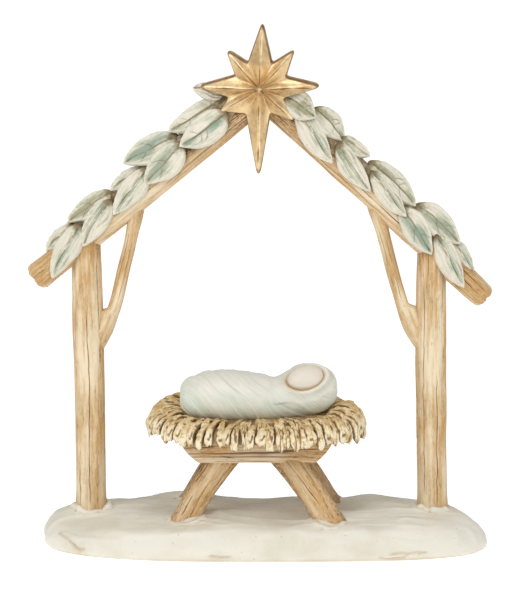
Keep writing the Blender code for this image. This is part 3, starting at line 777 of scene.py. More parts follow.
def make_ground(sizes, material):
    """The low ground with its soft folds, dents and creases, and a collar round each foot."""
    share = np.linspace(0.012, 1.0, 120)[:, None]
    angle = circle(400)[None, :]
    reach, lift = (v + 0 * angle for v in smooth_table(GROUND_PROFILE, share))
    c, s = np.cos(angle), np.sin(angle)
    power = np.where((c > 0) & (s < 0), 0.63, 0.80)
    half = np.where(c > 0, sizes.ground_right, sizes.ground_left)
    wave = 1 + 0.015 * (np.sin(3 * angle + 0.7) + 0.8 * np.sin(5 * angle))
    x = half * signed_power(c, power) * reach
    y = sizes.ground_depth * wave * signed_power(s, power) * reach
    x = x - 0.15 * y * (np.clip(x, 0, None) / sizes.ground_right) ** 3
    right_slope = 1 - 0.36 * (np.clip(x - 0.106, 0, None) / 0.0265) ** 2
    height = ground_swell(x, y, sizes) * lift * right_slope
    points = joined(x, y, height)

    # Long soft folds run from left to right, as in drifted snow, with finer lumps on them.
    folds = layered_noise(points * (19, 58, 60) + (3, 0, 0), 2, 5)
    ripple = layered_noise(points * (60, 95, 95), 3, 6)
    crest = line_of(folds, 0.30, 1.5)
    fine = layered_noise(points * (150, 230, 230), 2, 16)
    wrinkle = soft_noise(points * (46, 120, 120) + (0, 0, 7), 9)
    wrinkle = line_of(wrinkle, 0.22, 1.6) * step_between(-0.2, 0.4, soft_noise(points * 34, 10))
    relief = 0.00170 * folds + 0.00090 * crest + 0.00095 * ripple + 0.00016 * fine
    relief = relief + 0.00065 * wrinkle
    # The troughs of the folds, the dents and the creases get painted shade through this field, less on the
    # humps.
    hollow = clamp(-folds * 0.9 - 0.8 * ripple - 0.10) * 0.8
    for px, py, wide, deep in GROUND_DENTS:
        dent = mound(np.hypot(x * 1000 - px, (y * 1000 - py) * 1.3), wide)
        relief -= deep * 0.001 * dent
        hollow += 0.18 * min(deep, 1.2) * dent
    stain_and_shade, collar = np.zeros_like(x), np.zeros_like(x)
    for px, py, radius in foot_places(sizes):
        away = np.hypot(x - px, y - py) - radius
        ragged = np.clip(0.95 + 0.70 * soft_noise(points * 280, 3), 0.35, 1.5)
        reach_out = 0.0015 + 0.0017 * ragged
        rise = 1.0 if radius == sizes.post_foot else 0.62
        collar = np.maximum(collar, rise * ragged * mound(np.maximum(away - 0.0004, 0), reach_out))
        stain_and_shade = np.maximum(stain_and_shade, 0.9 * mound(away - 0.0002, 0.0006) * clamp(ragged))
        outer = mound(away - 0.0036 * ragged, 0.0004) * step_between(0.6, 0.9, ragged)
        stain_and_shade = np.maximum(stain_and_shade, 0.70 * outer)
    relief += sizes.collar * collar * (lift > 0.6)
    stain_and_shade *= lift > 0.6
    front = (y < -0.01) * (lift < 0.95)
    # Creases are pressed into the front wall, with painted shade along them and a darker line in each.
    for line in GROUND_CREASES:
        away = line_distance(x * 1000, height * 1000, line)
        relief -= 0.0007 * mound(away, 0.6) * front
        hollow = np.maximum(hollow, 0.7 * mound(away, 1.3) * front)
        stain_and_shade = np.maximum(stain_and_shade, 0.55 * mound(away, 0.62) * front)
    # The foot of the wall is darker, more so where the ripple rises.
    skirt = mound(height, 0.0011) * (lift < 0.2)
    stain_and_shade = clamp(stain_and_shade + 0.55 * skirt * clamp(0.6 + ripple))

    normals = grid_normals(points)
    keep = step_between(0.0, 0.14, lift)
    points = points + normals * (relief * keep)[..., None]
    points[..., 2] = np.maximum(points[..., 2], 0.0)
    points[-1, :, 2] = 0.0
    ridge = clamp(crest + collar + 0.6 * wrinkle)
    fields = {"hollow": clamp(hollow), "stain_and_shade": stain_and_shade, "ridge": ridge}
    dress(closed_grid("ground", points, fields, material, last=(0, 0, 0)))


# The timber

EAVES = {"left": (-0.1315, 0.1586), "right": (0.1298, 0.1474)}

# How far a pole runs past the apex, and stops short of and drops at its eave
POLE_PAST_APEX = 0.006
EAVE_CUT = 0.0026
EAVE_DROP = 0.0013

# How much a branch widens under its fork
FORK_FILL = 0.0020

# A crack wider than this, in millimetres, runs on with hardly a break.
WIDE_CRACK = 0.29

# A cut end's rounded edge: how far the rings stand out and how much they shrink
CUT_END = (
    (0.0009, 0.975), (0.0018, 0.93), (0.0026, 0.85), (0.0031, 0.73), (0.0033, 0.52), (0.0032, 0.25),
)


def crack_centre(turn, length, seed):
    """The angle where a crack runs at each distance along a stick."""
    wander = 0.15 * soft_noise(joined(length * 26, turn, 0), seed + 2)
    return turn + wander + 0.035 * soft_noise(joined(length * 170, 0, 0), seed)


def follow_cracks(angle, length, cracks, seed):
    """Draws the nearest column of points onto each crack, with its neighbours close beside it."""
    columns = angle.shape[1]
    pitch = 2 * math.pi / columns
    for turn in dict.fromkeys(crack[0] for crack in cracks):
        centre = crack_centre(turn, length, seed)
        column = round(turn / pitch) % columns
        steps = (np.arange(columns) - column + columns // 2) % columns - columns // 2
        weight = line_of(steps, 4.5)
        nearer = np.interp(np.abs(steps), (0, 1, 2, 3, 4, 5), (0, 0.55, 0.70, 0.50, 0.22, 0)) * pitch
        shift = angle_within(centre - angle[:, column])
        angle = angle + shift[:, None] * weight[None, :] - (np.sign(steps) * nearer)[None, :]
    return angle


def carve_grain(fibre, share, angle, radius, cracks, seed, depth):
    """Depth of the carved grain and cracks at each place, and how hollow it is there."""
    streak = soft_noise(fibre * (820, 820, 34), seed)
    fine = soft_noise(fibre * (1500, 1500, 110), seed + 5)
    groove = line_of(streak, 0.16, 1.3)
    deep = depth * (0.85 * groove + 0.35 * clamp(fine))
    hollow = 0.62 * groove * step_between(-0.1, 0.5, soft_noise(fibre * (260, 260, 55), seed + 9))
    for turn, start, end, wide, down in cracks:
        gap = angle_within(angle - crack_centre(turn, fibre[:, 0, 2], seed)[:, None]) * radius
        ends = step_between(start, start + 0.12, share) * (1 - step_between(end - 0.16, end, share))
        place = joined(fibre[..., 2] * 95, turn, 0)
        loose = 0.35 if wide > WIDE_CRACK else 1.0
        broken = np.clip(0.88 + loose * soft_noise(place, seed), 0.12, 1.0)
        line = mound(gap, wide * 0.00072) * ends * broken
        deep = deep + down * 0.001 * line
        hollow = np.maximum(hollow, line * 1.45)
    ridge = clamp(0.5 + 0.5 * streak - hollow)
    return deep, clamp(hollow), ridge


def smooth_line(points, count):
    """Evenly spaced points on a smooth curve through the given ones."""
    points = np.array(points, float)
    run = run_along(points)
    rows = np.concatenate([run[:, None] / run[-1], points], axis=1)
    return np.stack(smooth_table(rows, np.linspace(0, 1, count)), -1)


def bowed(start, end, bow):
    """Points of a stick that bows to one side in the plane of the front."""
    start, end = np.array(start, float), np.array(end, float)
    run = unit(end - start)
    side = unit(np.array((run[2], 0, -run[0])))
    shares = (0, 0.25, 0.5, 0.75, 1)
    return [start + (end - start) * t + side * bow * math.sin(math.pi * t) for t in shares]


def make_stick(name, line, material, sizes, radii, cracks, seed, stain_and_shade, rings=150, columns=92,
               squash=1.0, corner=2.0, gnarl=0.05, fork=None):
    """A carved stick along a line, with its grain and cracks running along it.

    The stain and painted shade come from the share of the length and the outward direction at each
    point. A fork is the height where the stick leaves its post, and the side that the post is on.
    """
    centres = smooth_line(line, rings)
    share = np.linspace(0, 1, rings)
    tangent = unit(np.gradient(centres, axis=0))
    front = unit(FRONT - tangent * (tangent @ FRONT)[:, None])
    across = np.cross(tangent, front)
    angle = circle(columns)[None, :] + 0 * share[:, None]
    length = run_along(centres)
    angle = follow_cracks(angle, length, cracks, seed)
    fill = np.zeros(rings)
    if fork:
        # Below the fork, the branch widens towards its post and fills the gap between them.
        above, toward = centres[:, 2] - fork[0], fork[1]
        fill = FORK_FILL * step_between(0.0014, -0.0018, above) * step_between(-0.028, -0.010, above)
        centres[:, 0] += toward * fill
    c, s = np.cos(angle), np.sin(angle)
    radius = (np.interp(share, *radii) + fill)[:, None] * rounded_box(c, s, corner)
    fibre = joined(radius * c, radius * s, length[:, None])
    lumps = layered_noise(fibre * (150, 150, 44), 2, seed + 40)
    spread = share[:, None] + 0 * angle
    deep, hollow, ridge = carve_grain(fibre, spread, angle, radius, cracks, seed, sizes.grain_depth)
    radius = radius * (1 + gnarl * lumps) - deep
    out = c[..., None] * front[:, None] + s[..., None] * across[:, None]
    body = centres[:, None] + radius[..., None] * out

    def cap(at, outward):
        """Rings that round the edge of a cut end and close in on its rough face."""
        rough = soft_noise(fibre[at] * 700, seed + 60)[:, None]
        made = []
        for rise, shrink in CUT_END:
            ring = centres[at] + (body[at] - centres[at]) * shrink
            rise = rise + 0.0007 * rough * (rise > 0.0012)
            made.append(ring + outward * tangent[at] * rise)
        return made

    head, foot = cap(-1, 1.0), cap(0, -1.0)[::-1]
    points = np.concatenate([foot, body, head])
    middle = (centres[0, 1] + centres[-1, 1]) / 2
    points[..., 1] = middle + (points[..., 1] - middle) * squash

    def extend(values):
        return np.concatenate([[values[0]] * len(foot), values, [values[-1]] * len(head)])

    fields = {"fibre": fibre, "hollow": hollow, "ridge": ridge, "stain_and_shade": stain_and_shade(spread, out)}
    fields = {field: extend(values) for field, values in fields.items()}
    dress(closed_grid(name, points, fields, material))


def pole_line(eave, sizes):
    """The apex, the direction down a roof pole, its upward normal and its length."""
    apex = Vector((0, 0, sizes.apex))
    end = Vector((eave[0], 0, eave[1]))
    down = (end - apex).normalized()
    up = Vector((-down.z, 0, down.x)) if down.x > 0 else Vector((down.z, 0, -down.x))
    return apex, down, up, (end - apex).length


def pole_height(eave, x, sizes):
    """The height of a roof pole's axis at a place along X."""
    return sizes.apex + (eave[1] - sizes.apex) * x / eave[0]


def make_timber(sizes, material):
    """The posts, the roof poles and the forked branches."""
    for number, (side, eave) in enumerate(EAVES.items()):
        sign = -1 if side == "left" else 1
        x = sign * sizes.post_x
        head_x = x - sizes.post_lean
        post = bowed(
            (x, 0, ground_at(x, 0.0, sizes) - sizes.foot_depth),
            (head_x, 0, pole_height(eave, head_x, sizes)),
            0.0006 if sign < 0 else -0.0008,
        )
        foot, head = sizes.post_foot, sizes.post_head
        make_stick(
            side + "_post", post, material, sizes,
            (
                (0, 0.06, 0.12, 0.5, 0.66, 0.85, 1),
                (foot * 1.1, foot * 1.05, foot, foot * 1.02, foot * 1.05, head * 1.08, head * 1.06),
            ),
            seed=11 + 7 * number, cracks=LEFT_POST_CRACKS if sign < 0 else RIGHT_POST_CRACKS,
            # The post is darker at its head, as painted shadow of the pole that crosses in front, and
            # darker at its foot and on its left and right sides.
            stain_and_shade=lambda share, out: (
                0.8 * step_between(0.86, 0.97, share) + 0.5 * step_between(0.14, 0.05, share)
                + 0.5 * step_between(0.62, 0.92, np.abs(out[..., 0]))
            ),
        )
        apex, down, _, length = pole_line(eave, sizes)
        eave_end = apex + down * (length - EAVE_CUT) - Vector((0, 0, EAVE_DROP))
        pole = bowed(apex - down * POLE_PAST_APEX, eave_end, -0.0007)
        wide = sizes.pole_eave
        make_stick(
            side + "_pole", pole, material, sizes,
            (
                (0, 0.7, 0.86, 1),
                (sizes.pole_apex * 1.04, wide * 1.02, wide * 1.03, wide * (1.09 if sign < 0 else 0.98)),
            ),
            cracks=POLE_CRACKS, seed=51 + 7 * number, rings=170, columns=88,
            # The pole is darker towards the apex and at its cut eave end, with painted shade along its
            # upper side under the garland.
            stain_and_shade=lambda share, out: (
                1.5 * clamp(1.1 - 2.4 * share) + 0.35 * step_between(0.90, 0.99, share)
                + 0.9 * step_between(-0.20, 0.40, out[..., 2]) * step_between(0.99, 0.86, share)
            ),
        )
        shares = np.linspace(0, 1, 12)
        radii = sizes.branch_radius * (1.12 - 0.22 * np.sin(math.pi * shares * 6 / 7))
        radii = radii * (1 + 0.40 * mound(1 - shares, 0.10))
        branch = [(px / 1000, 0, pz / 1000) for px, pz in BRANCH_LINES[side]]
        make_stick(
            side + "_branch", branch, material, sizes, (shares, radii), cracks=BRANCH_CRACKS,
            seed=81 + 7 * number, rings=110, columns=56, gnarl=0.09, fork=(FORK_HEIGHTS[side], sign),
            # The branch is darker towards its top end and on its left and right sides.
            stain_and_shade=lambda share, out: (
                0.9 * step_between(0.80, 0.97, share) + 0.3 * step_between(0.6, 0.9, np.abs(out[..., 0]))
            ),
        )


# Forms that are repeated


def scatter_tree():
    """Geometry Nodes that put a form on each point, warp them together and paint them.

    Each point holds which form it takes, its turn, its size and its tone.
    """
    tree = bpy.data.node_groups.new("scatter_forms", "GeometryNodeTree")
    for name, kind in (
        ("Points", "Geometry"), ("Forms", "Collection"), ("Warp Scale", "Float"),
        ("Warp Depth", "Float"), ("Seed", "Float"), ("Paint", "Material"),
    ):
        tree.interface.new_socket(name, in_out="INPUT", socket_type="NodeSocket" + kind)
    tree.interface.new_socket("Casting", in_out="OUTPUT", socket_type="NodeSocketGeometry")
    nodes = Nodes(tree)

    def stored(name, kind):
        return nodes.add("GeometryNodeInputNamedAttribute", {"data_type": kind}, {"Name": name})

    given = tree.nodes.new("NodeGroupInput").outputs
    forms = nodes.add("GeometryNodeCollectionInfo", None, {
        "Collection": given["Forms"], "Separate Children": True, "Reset Children": True,
    })
    turn = nodes.add("FunctionNodeEulerToRotation", None, {"Euler": stored("turn", "FLOAT_VECTOR")})
    placed = nodes.add("GeometryNodeInstanceOnPoints", None, {
        "Points": given["Points"], "Instance": forms, "Pick Instance": True, "Rotation": turn,
        "Instance Index": stored("form", "INT"), "Scale": stored("size", "FLOAT_VECTOR"),
    })
    real = nodes.add("GeometryNodeRealizeInstances", None, {"Geometry": placed})
    noise_sockets = {"Scale": given["Warp Scale"], "W": given["Seed"], "Detail": 2.0}
    warp = nodes.add("ShaderNodeTexNoise", {"noise_dimensions": "4D"}, noise_sockets, "Color")
    warp = nodes.add("ShaderNodeVectorMath", {"operation": "SUBTRACT"}, {0: warp, 1: (0.5, 0.5, 0.5)})
    sockets = {0: warp, "Scale": given["Warp Depth"]}
    warp = nodes.add("ShaderNodeVectorMath", {"operation": "SCALE"}, sockets)
    warped = nodes.add("GeometryNodeSetPosition", None, {"Geometry": real, "Offset": warp})
    painted = nodes.add("GeometryNodeSetMaterial", None, {"Geometry": warped, "Material": given["Paint"]})
    nodes.feed(tree.nodes.new("NodeGroupOutput").inputs["Casting"], painted)
    return tree


def scatter(name, points, forms, material, warp_scale, warp_depth, seed):
    """One mesh with a form on each point, which is its place, turn, size, form and tone.

    The forms themselves are removed afterwards.
    """
    tree = bpy.data.node_groups.get("scatter_forms") or scatter_tree()
    collection = bpy.data.collections.new(name + "_forms")
    bpy.context.scene.collection.children.link(collection)
    for form in forms:
        bpy.context.scene.collection.objects.unlink(form)
        collection.objects.link(form)
    places, turns, scales, kinds, tones = zip(*points)
    mesh = bpy.data.meshes.new(name + "_points")
    mesh.vertices.add(len(places))
    mesh.vertices.foreach_set("co", np.array(places, np.float32).ravel())
    store_field(mesh, "turn", turns, "FLOAT_VECTOR")
    store_field(mesh, "size", scales, "FLOAT_VECTOR")
    store_field(mesh, "form", kinds, "INT")
    store_field(mesh, "tone", tones)
    obj = place_object(name, mesh)
    modifier = obj.modifiers.new("scatter_forms", "NODES")
    modifier.node_group = tree
    given = {
        "Forms": collection, "Warp Scale": warp_scale, "Warp Depth": warp_depth,
        "Seed": seed, "Paint": material,
    }
    for item in tree.interface.items_tree:
        if item.item_type == "SOCKET" and item.in_out == "INPUT" and item.name in given:
            modifier[item.identifier] = given[item.name]
    graph = bpy.context.evaluated_depsgraph_get()
    made = bpy.data.meshes.new_from_object(
        obj.evaluated_get(graph), preserve_all_data_layers=True, depsgraph=graph
    )
    obj.modifiers.clear()
    obj.data = made
    made.name = name
    for form in forms:
        bpy.data.objects.remove(form)
    bpy.data.collections.remove(collection)
    if not made.polygons:
        raise RuntimeError(f"{name}: no form was placed")
    return obj


def turn_of(along, face):
    """The turn that lays a form's Y along one direction, with its Z towards the side that faces out."""
    along = along.normalized()
    across = along.cross(face).normalized()
    return Matrix((across, along, across.cross(along))).transposed().to_euler()


# The leaves

GARLANDS = {"left": LEFT_LEAVES, "right": RIGHT_LEAVES}
GARLAND_SEEDS = {"left": 4, "right": 9}

# The size that a leaf's form is made in, how much thicker it is cast, and the width under which a
# leaf is a folded one
LEAF_LENGTH = 0.034
LEAF_WIDTH = 0.0165
LEAF_FULLNESS = 1.25
SLIM_LEAF = 0.0154

# How far forward of the pole's axis the stems of each row stand
FRONT_ROW = 0.0074
TOP_ROW = 0.0022
BACK_ROW = -0.00465

# The back row: how many leaves, where the first one is, the step between them, their length and width
BACK_LEAVES = (5, 0.010, 0.029, 0.032, 0.0135)

# The core's ends, as distances from the apex and from the eave, their rises, and its radius
CORE_ENDS = (0.010, 0.022)
CORE_RISES = (0.0080, 0.0060)
CORE_RADIUS = 0.0054


def make_leaf_form(name, sizes, seed, folded):
    """A thick pointed leaf lying along Y, with a carved rib and a raised round edge.

    An open leaf has a few short side veins, and a folded one has ridges along its length.
    """
    rings, shown, hidden = 58, 49, 11
    share = np.linspace(0.004, 0.996, rings)[:, None]
    # The upper face, which is the one that shows, has its columns closest at the rib and the edges.
    off = np.linspace(1, -1, shown, endpoint=False)
    off = 0.45 * off + 0.55 * np.sign(off) * step_between(0, 1, np.abs(off))
    turn = np.concatenate([np.arccos(off), np.linspace(math.pi, 2 * math.pi, hidden, endpoint=False)])
    angle = turn[None, :]
    ring = np.sin(math.pi * share**0.85) ** 0.8
    across = np.cos(angle) + 0 * share
    outline = 1 + 0.07 * soft_noise(joined(share * 5, np.sign(across), 0), seed + 6)
    wide = LEAF_WIDTH / 2 * ring * signed_power(across, 0.9) * outline
    upper = np.sin(angle) > -0.01
    thick = sizes.leaf_thickness / 2 * ring**0.5 * signed_power(np.sin(angle), 0.55)
    fold = (0.34 if folded else 0.20) * np.abs(wide)
    curl = -sizes.leaf_curl * LEAF_LENGTH * (share - 0.4) ** 2
    bend = 0.0011 * np.sin(share * math.pi * 1.3 + seed) * share
    side = np.abs(wide) / (LEAF_WIDTH / 2)
    edge = clamp(side / np.maximum(ring, 0.05))
    fade = step_between(0.02, 0.12, share) * (1 - step_between(0.90, 1.0, share))
    rib = mound(wide, 0.00040 + 0.0003 * (1 - share)) * fade
    trench = mound(edge, 0.50) * fade
    lip = mound(edge - 0.84, 0.15) * fade
    patch = soft_noise(joined(wide * 110, share * 3.2, 5), seed + 13)
    patch = np.clip(0.62 + 0.75 * patch + 0.22 * np.sign(wide) * (-1) ** seed, 0, 1.2)
    veins = np.zeros_like(wide)
    for number, start in enumerate((0.18, 0.36, 0.54)):
        for sign in (-1, 1):
            begin = start + 0.12 * cell_value(np.array([number, sign, 3]), seed)
            reach = 1.15 * cell_value(np.array([number, sign, 7]), seed) - 0.30
            rise = 0.16 + 0.20 * cell_value(np.array([number, sign, 9]), seed)
            bow = 0.03 * soft_noise(joined(side * 3, number, 0), seed + 7)
            line = (share - begin - rise * side**1.25 - bow) * LEAF_LENGTH
            if folded or reach < 0.15:
                continue
            on = (np.sign(wide) == sign) * (1 - step_between(reach * 0.6, reach, side))
            along = np.interp(side, (0, 0.35, 0.9), (0.45, 1.0, 0.75))
            vein = mound(line, 0.00042) * on * fade * along * (0.5 + 0.5 * reach)
            veins = np.maximum(veins, vein)
    wander = soft_noise(joined(wide * 240, share * 3, seed), seed)
    streak = np.cos(wide / LEAF_WIDTH * 40 + 3.0 * wander + seed) * (0.6 + 0.4 * wander)
    fine = soft_noise(joined(wide * 1300, share * 9, seed), seed + 1)
    ridges = (0.00036 if folded else 0.00008) * streak + 0.00010 * fine
    relief = 0.00075 * lip - 0.00095 * trench - 0.00055 * rib - 0.00050 * veins + ridges * fade
    relief = relief + 0.00045 * soft_noise(joined(wide * 170, share * 6, 0), seed + 2)
    height = thick - fold + curl + np.where(upper, relief, 0)
    points = joined(wide + bend, LEAF_LENGTH * share, height)
    # Near its base the leaf gets painted shade, where it tucks under the leaves beside it.
    root = 1 - step_between(0.0, 0.20, share)
    rib_wash = rib * (0.60 + 0.4 * soft_noise(joined(share * 3, 0, 0), seed))
    grooves = step_between(0.30, 0.95, -streak) * (0.50 if folded else 0.0)
    # The underside gets painted shade too, which shows as a dark edge under the lip.
    hollow = np.where(upper, np.maximum(np.maximum(rib_wash, 0.95 * veins), grooves), 0.80)
    hollow = np.maximum(hollow, 0.95 * root + 0 * wide)
    bright = lip * 0.6 + 0.3 * edge**6 + step_between(0.1, 0.8, streak) * (0.8 if folded else 0.15)
    fields = {
        "fibre": joined(wide, LEAF_LENGTH * share, 0.01 * seed),
        "hollow": clamp(hollow),
        "ridge": clamp(np.where(upper, bright, 0.2) * step_between(0.08, 0.3, share)),
        "shade": clamp((0.25 + 0.75 * trench) * patch * (1.15 - 0.45 * share) + 0.3 * root) * upper,
        "rib": fade * (1 - step_between(0.70, 0.92, share)) * upper + 0 * wide,
        "stem": (1 - step_between(0.06, 0.42, share + 0.25 * edge)) + 0 * wide,
    }
    base, tip = (0, 0, float(curl[0, 0])), (0, LEAF_LENGTH, float(curl[-1, 0]))
    return closed_grid(name, points, fields, None, first=base, last=tip)


def garland_points(side, sizes):
    """Each leaf's place, turn, size, form and tint, at the front, the top and the back."""
    apex, down, up, _ = pole_line(EAVES[side], sizes)
    front = Vector(FRONT)
    points = []

    def place_leaf(stem, along, face, leaf_length, width, kind, tint):
        size = (width / LEAF_WIDTH, leaf_length / LEAF_LENGTH, LEAF_FULLNESS)
        points.append((stem, turn_of(along, face), size, kind, tint))

    for number, (at, rise, leaf_length, lean, width, row, tint) in enumerate(GARLANDS[side]):
        lean = math.radians(lean)
        along = down * math.cos(lean) + up * math.sin(lean)
        if row == "front":
            forward, face = FRONT_ROW, front * 0.94 + up * 0.34
            along = along + front * 0.11
        else:
            # A wide leaf is set back, behind the row in front of it.
            forward, face = TOP_ROW - 0.30 * max(0.0, width - LEAF_WIDTH), front * 0.80 + up * 0.60
            along = along + front * 0.035
        kind = number % 2 + (2 if width < SLIM_LEAF else 0)
        stem = apex + down * at + up * rise + front * forward
        place_leaf(stem, along, face, leaf_length, width, kind, tint)
    count, first, step, leaf_length, width = BACK_LEAVES
    for number in range(count):
        stem = apex + down * (first + number * step) + up * 0.0100 + front * BACK_ROW
        along, face = down - up * 0.16 - front * 0.05, up * 0.62 - front * 0.78
        place_leaf(stem, along, face, leaf_length, width, number % 4, (0.2, 0.7, 0.4)[number % 3])
    return points


def make_garland(side, sizes, leaf_paint):
    """A garland's leaves along its roof pole."""
    forms = [make_leaf_form(f"{side}_leaf_form_{n}", sizes, 3 + n, n > 1) for n in range(4)]
    points = garland_points(side, sizes)
    garland = scatter(side + "_leaves", points, forms, leaf_paint, 70.0, 0.0011, GARLAND_SEEDS[side])
    dress(garland)


def make_garland_core(side, sizes, leaf_paint):
    """The lumpy core along a roof pole that a garland's leaves grow from."""
    apex, down, up, length = pole_line(EAVES[side], sizes)
    share = np.linspace(0, 1, 130)
    first = np.array(apex + down * CORE_ENDS[0] + up * CORE_RISES[0])
    last = np.array(apex + down * (length - CORE_ENDS[1]) + up * CORE_RISES[1])
    centres = first + (last - first) * share[:, None]
    angle = circle(44)
    by_star = 1.40 if side == "left" else 0.90
    radius = CORE_RADIUS * np.interp(share, (0, 0.10, 0.24, 0.8, 1), (by_star, by_star, 1, 0.95, 0.6))
    ends = np.sqrt(clamp(share * 30) * clamp((1 - share) * 30)) + 0.05
    radius = (radius[:, None] + 0 * angle) * np.minimum(1, ends)[:, None]
    out = np.cos(angle)[None, :, None] * np.array(up) + np.sin(angle)[None, :, None] * FRONT
    points = centres[:, None] + radius[..., None] * out
    rough = layered_noise(points * 420, 3, GARLAND_SEEDS[side])
    points = points + out * (0.0006 * rough)[..., None]
    # The core lies under the leaves and gets painted shade all over, lighter on its lumps.
    fields = {
        "fibre": points, "hollow": clamp(0.75 - 0.6 * rough), "ridge": clamp(rough),
        "stem": np.ones_like(rough), **{name: np.zeros_like(rough) for name in ("shade", "tone", "rib")},
    }
    dress(closed_grid(side + "_garland_core", points, fields, leaf_paint))


# The star

# How far the star's middle stands out from its rim, how thick the rim is, and a tip's half width
STAR_PEAK = 0.0084
STAR_RIM = 0.0052
BLUNT_TIP = 0.00125

# Where the star sits against the apex, and its lean to the side and backwards in degrees
STAR_PLACE = (-0.0010, 0.0024, 0.0065)
STAR_LEAN = (-4, 3)

# The star's rounded edge, wall and back: the share of the reach, the height over the front rim, and
# how hollow and how bright each is
STAR_EDGE = (
    (0.972, -0.0002, 0.55, 0.2),
    (0.990, -0.0008, 0.90, 0.0),
    (1.0, -0.0017, 0.80, 0),
    (0.998, -STAR_RIM * 0.68, 0.42, 0),
    (0.975, -STAR_RIM * 0.93, 0.50, 0),
    (0.94, -STAR_RIM, 0.6, 0),
    (0.75, -STAR_RIM, 0.45, 0),
    (0.4, -STAR_RIM, 0.45, 0),
    (0.05, -STAR_RIM, 0.45, 0),
)


def star_outline(steps):
    """The star's edge as a smooth closed line of points, with blunt tips and rounded valleys."""
    corners = []
    for (turn, length), (valley_turn, valley_reach) in zip(STAR_POINTS, STAR_VALLEYS):
        turn, valley_turn = math.radians(turn), math.radians(valley_turn)
        for back, share in ((0.0022, -1), (0.0002, -0.5), (0.0002, 0.5), (0.0022, 1)):
            reach, lateral = length - back, BLUNT_TIP * share
            corners.append((
                math.cos(turn) * reach - math.sin(turn) * lateral,
                math.sin(turn) * reach + math.cos(turn) * lateral,
            ))
        corners.append((math.cos(valley_turn) * valley_reach, math.sin(valley_turn) * valley_reach))
    corners = np.array(corners + corners[:1])
    line = []
    for start, end in zip(corners[:-1], corners[1:]):
        share = np.linspace(0, 1, 60, endpoint=False)[:, None]
        run = end - start
        swell = 0.004 * np.sin(math.pi * share) * (np.linalg.norm(run) > 0.005)
        line.append((start + run * share) * (1 + swell))
    line = np.concatenate(line)
    closed = np.concatenate([line, line[:1]])
    run = run_along(closed)
    wanted = np.linspace(0, run[-1], steps, endpoint=False)
    line = joined(*(np.interp(wanted, run, closed[:, axis]) for axis in (0, 1)))
    for _ in range(5):
        line = 0.5 * line + 0.25 * (np.roll(line, 1, 0) + np.roll(line, -1, 0))
    return line


def gap_to(angle, turns):
    """The angle from the nearest of the turns to each direction."""
    gaps = angle_within(angle[:, None] - np.radians(turns))
    return gaps[np.arange(len(angle)), np.abs(gaps).argmin(axis=1)]


def make_star(sizes, material):
    """An eight-pointed star with a carved line down each point, soft valleys and a rounded rim."""
    outline = star_outline(440)
    angle = np.arctan2(outline[:, 1], outline[:, 0])
    reach = np.linalg.norm(outline, axis=1)
    signed = gap_to(angle, [turn for turn, _ in STAR_POINTS])
    from_tip, from_valley = np.abs(signed), np.abs(gap_to(angle, [turn for turn, _ in STAR_VALLEYS]))
    # 1 on the line down a point, 0 in the valley beside it, rounded at both
    swell = 0.5 + 0.5 * np.cos(math.pi * from_tip / (from_tip + from_valley))
    # The side of each ridge that looks up to the right gets painted highlight, the other painted shade.
    painted_light_side = np.sin(angle + np.sign(signed) * math.pi / 2 + math.radians(35))
    rings, hollow, ridge = [], [], []
    for share in np.linspace(0.012, 0.955, 56):
        place = joined(*(outline * share).T, 0)
        away = from_tip * reach * share + 0.0003 * soft_noise(place * 160, 4)
        cut = mound(away, 0.00034) * step_between(0.02, 0.08, share) * (1 - step_between(0.72, 0.95, share))
        # A crest beside each point's line stands a little proud and is painted bright, most on the side
        # with painted highlight.
        crest = mound(away - 0.0011, 0.0008) * step_between(0.04, 0.2, share) * clamp(0.35 + 0.8 * painted_light_side)
        groove = (1 - swell) * step_between(0.03, 0.30, share) * (1 - 0.45 * share**4)
        height = STAR_PEAK * (1 - share**1.15) * (1 - 0.60 * groove) + 0.00025 * crest * share**0.5
        height = height - 0.00034 * cut + 0.00030 * layered_noise(place * 110, 2, 8)
        rings.append(place + joined(0, 0, height))
        dark = 0.85 * cut + 0.35 * groove**2 * step_between(0.2, 0.6, share)
        dark = dark + 0.5 * step_between(0.92, 0.96, share)
        # Facets on the side away from the painted light get painted shade.
        dark = dark + 0.34 * clamp(0.35 - 0.8 * painted_light_side) * step_between(0.05, 0.3, share)
        hollow.append(clamp(dark))
        ridge.append(clamp(0.9 * crest + 0.35 * step_between(0.5, 0.9, swell) * share))
    for share, height, dark, bright in STAR_EDGE:
        # The casting's wall slopes, so the back stands a little higher and further to the right.
        back = -height / STAR_RIM
        x, y = (outline * share).T
        rings.append(joined(x + 0.0005 * back, y + 0.0014 * back, height))
        hollow.append(dark + 0 * reach)
        ridge.append(bright + 0 * reach)
    aside, back = (math.radians(lean) for lean in STAR_LEAN)
    turned = Matrix.Rotation(aside, 4, "Z") @ Matrix.Rotation(back, 4, "X")
    x, y, z = STAR_PLACE
    centre = Vector((x, y - sizes.pole_apex - STAR_RIM, sizes.apex + z))
    upright = Matrix.Rotation(math.pi / 2, 4, "X")
    points = moved(np.array(rings), Matrix.Translation(centre) @ turned @ upright)
    star = closed_grid("star", points, {"hollow": np.array(hollow), "ridge": np.array(ridge)}, material)
    dress(star)


# The manger

TROUGH_HALF_DEPTH = 0.0270
TROUGH_HALF_LENGTH = 0.0390
TROUGH_FLARE = 0.0052

# Where a leg's head is from the trough's middle, and how far the legs run into trough and ground
LEG_HEAD = (0.0152, 0.0145)
LEG_IN_TROUGH = 0.0045
LEG_IN_GROUND = 0.0055

# How the trough's ends close: shares of its section and of its half length
TROUGH_END = ((0.10, 1.0), (0.35, 1.0), (0.62, 1.0), (0.82, 1.0), (0.92, 0.999), (0.975, 0.994))


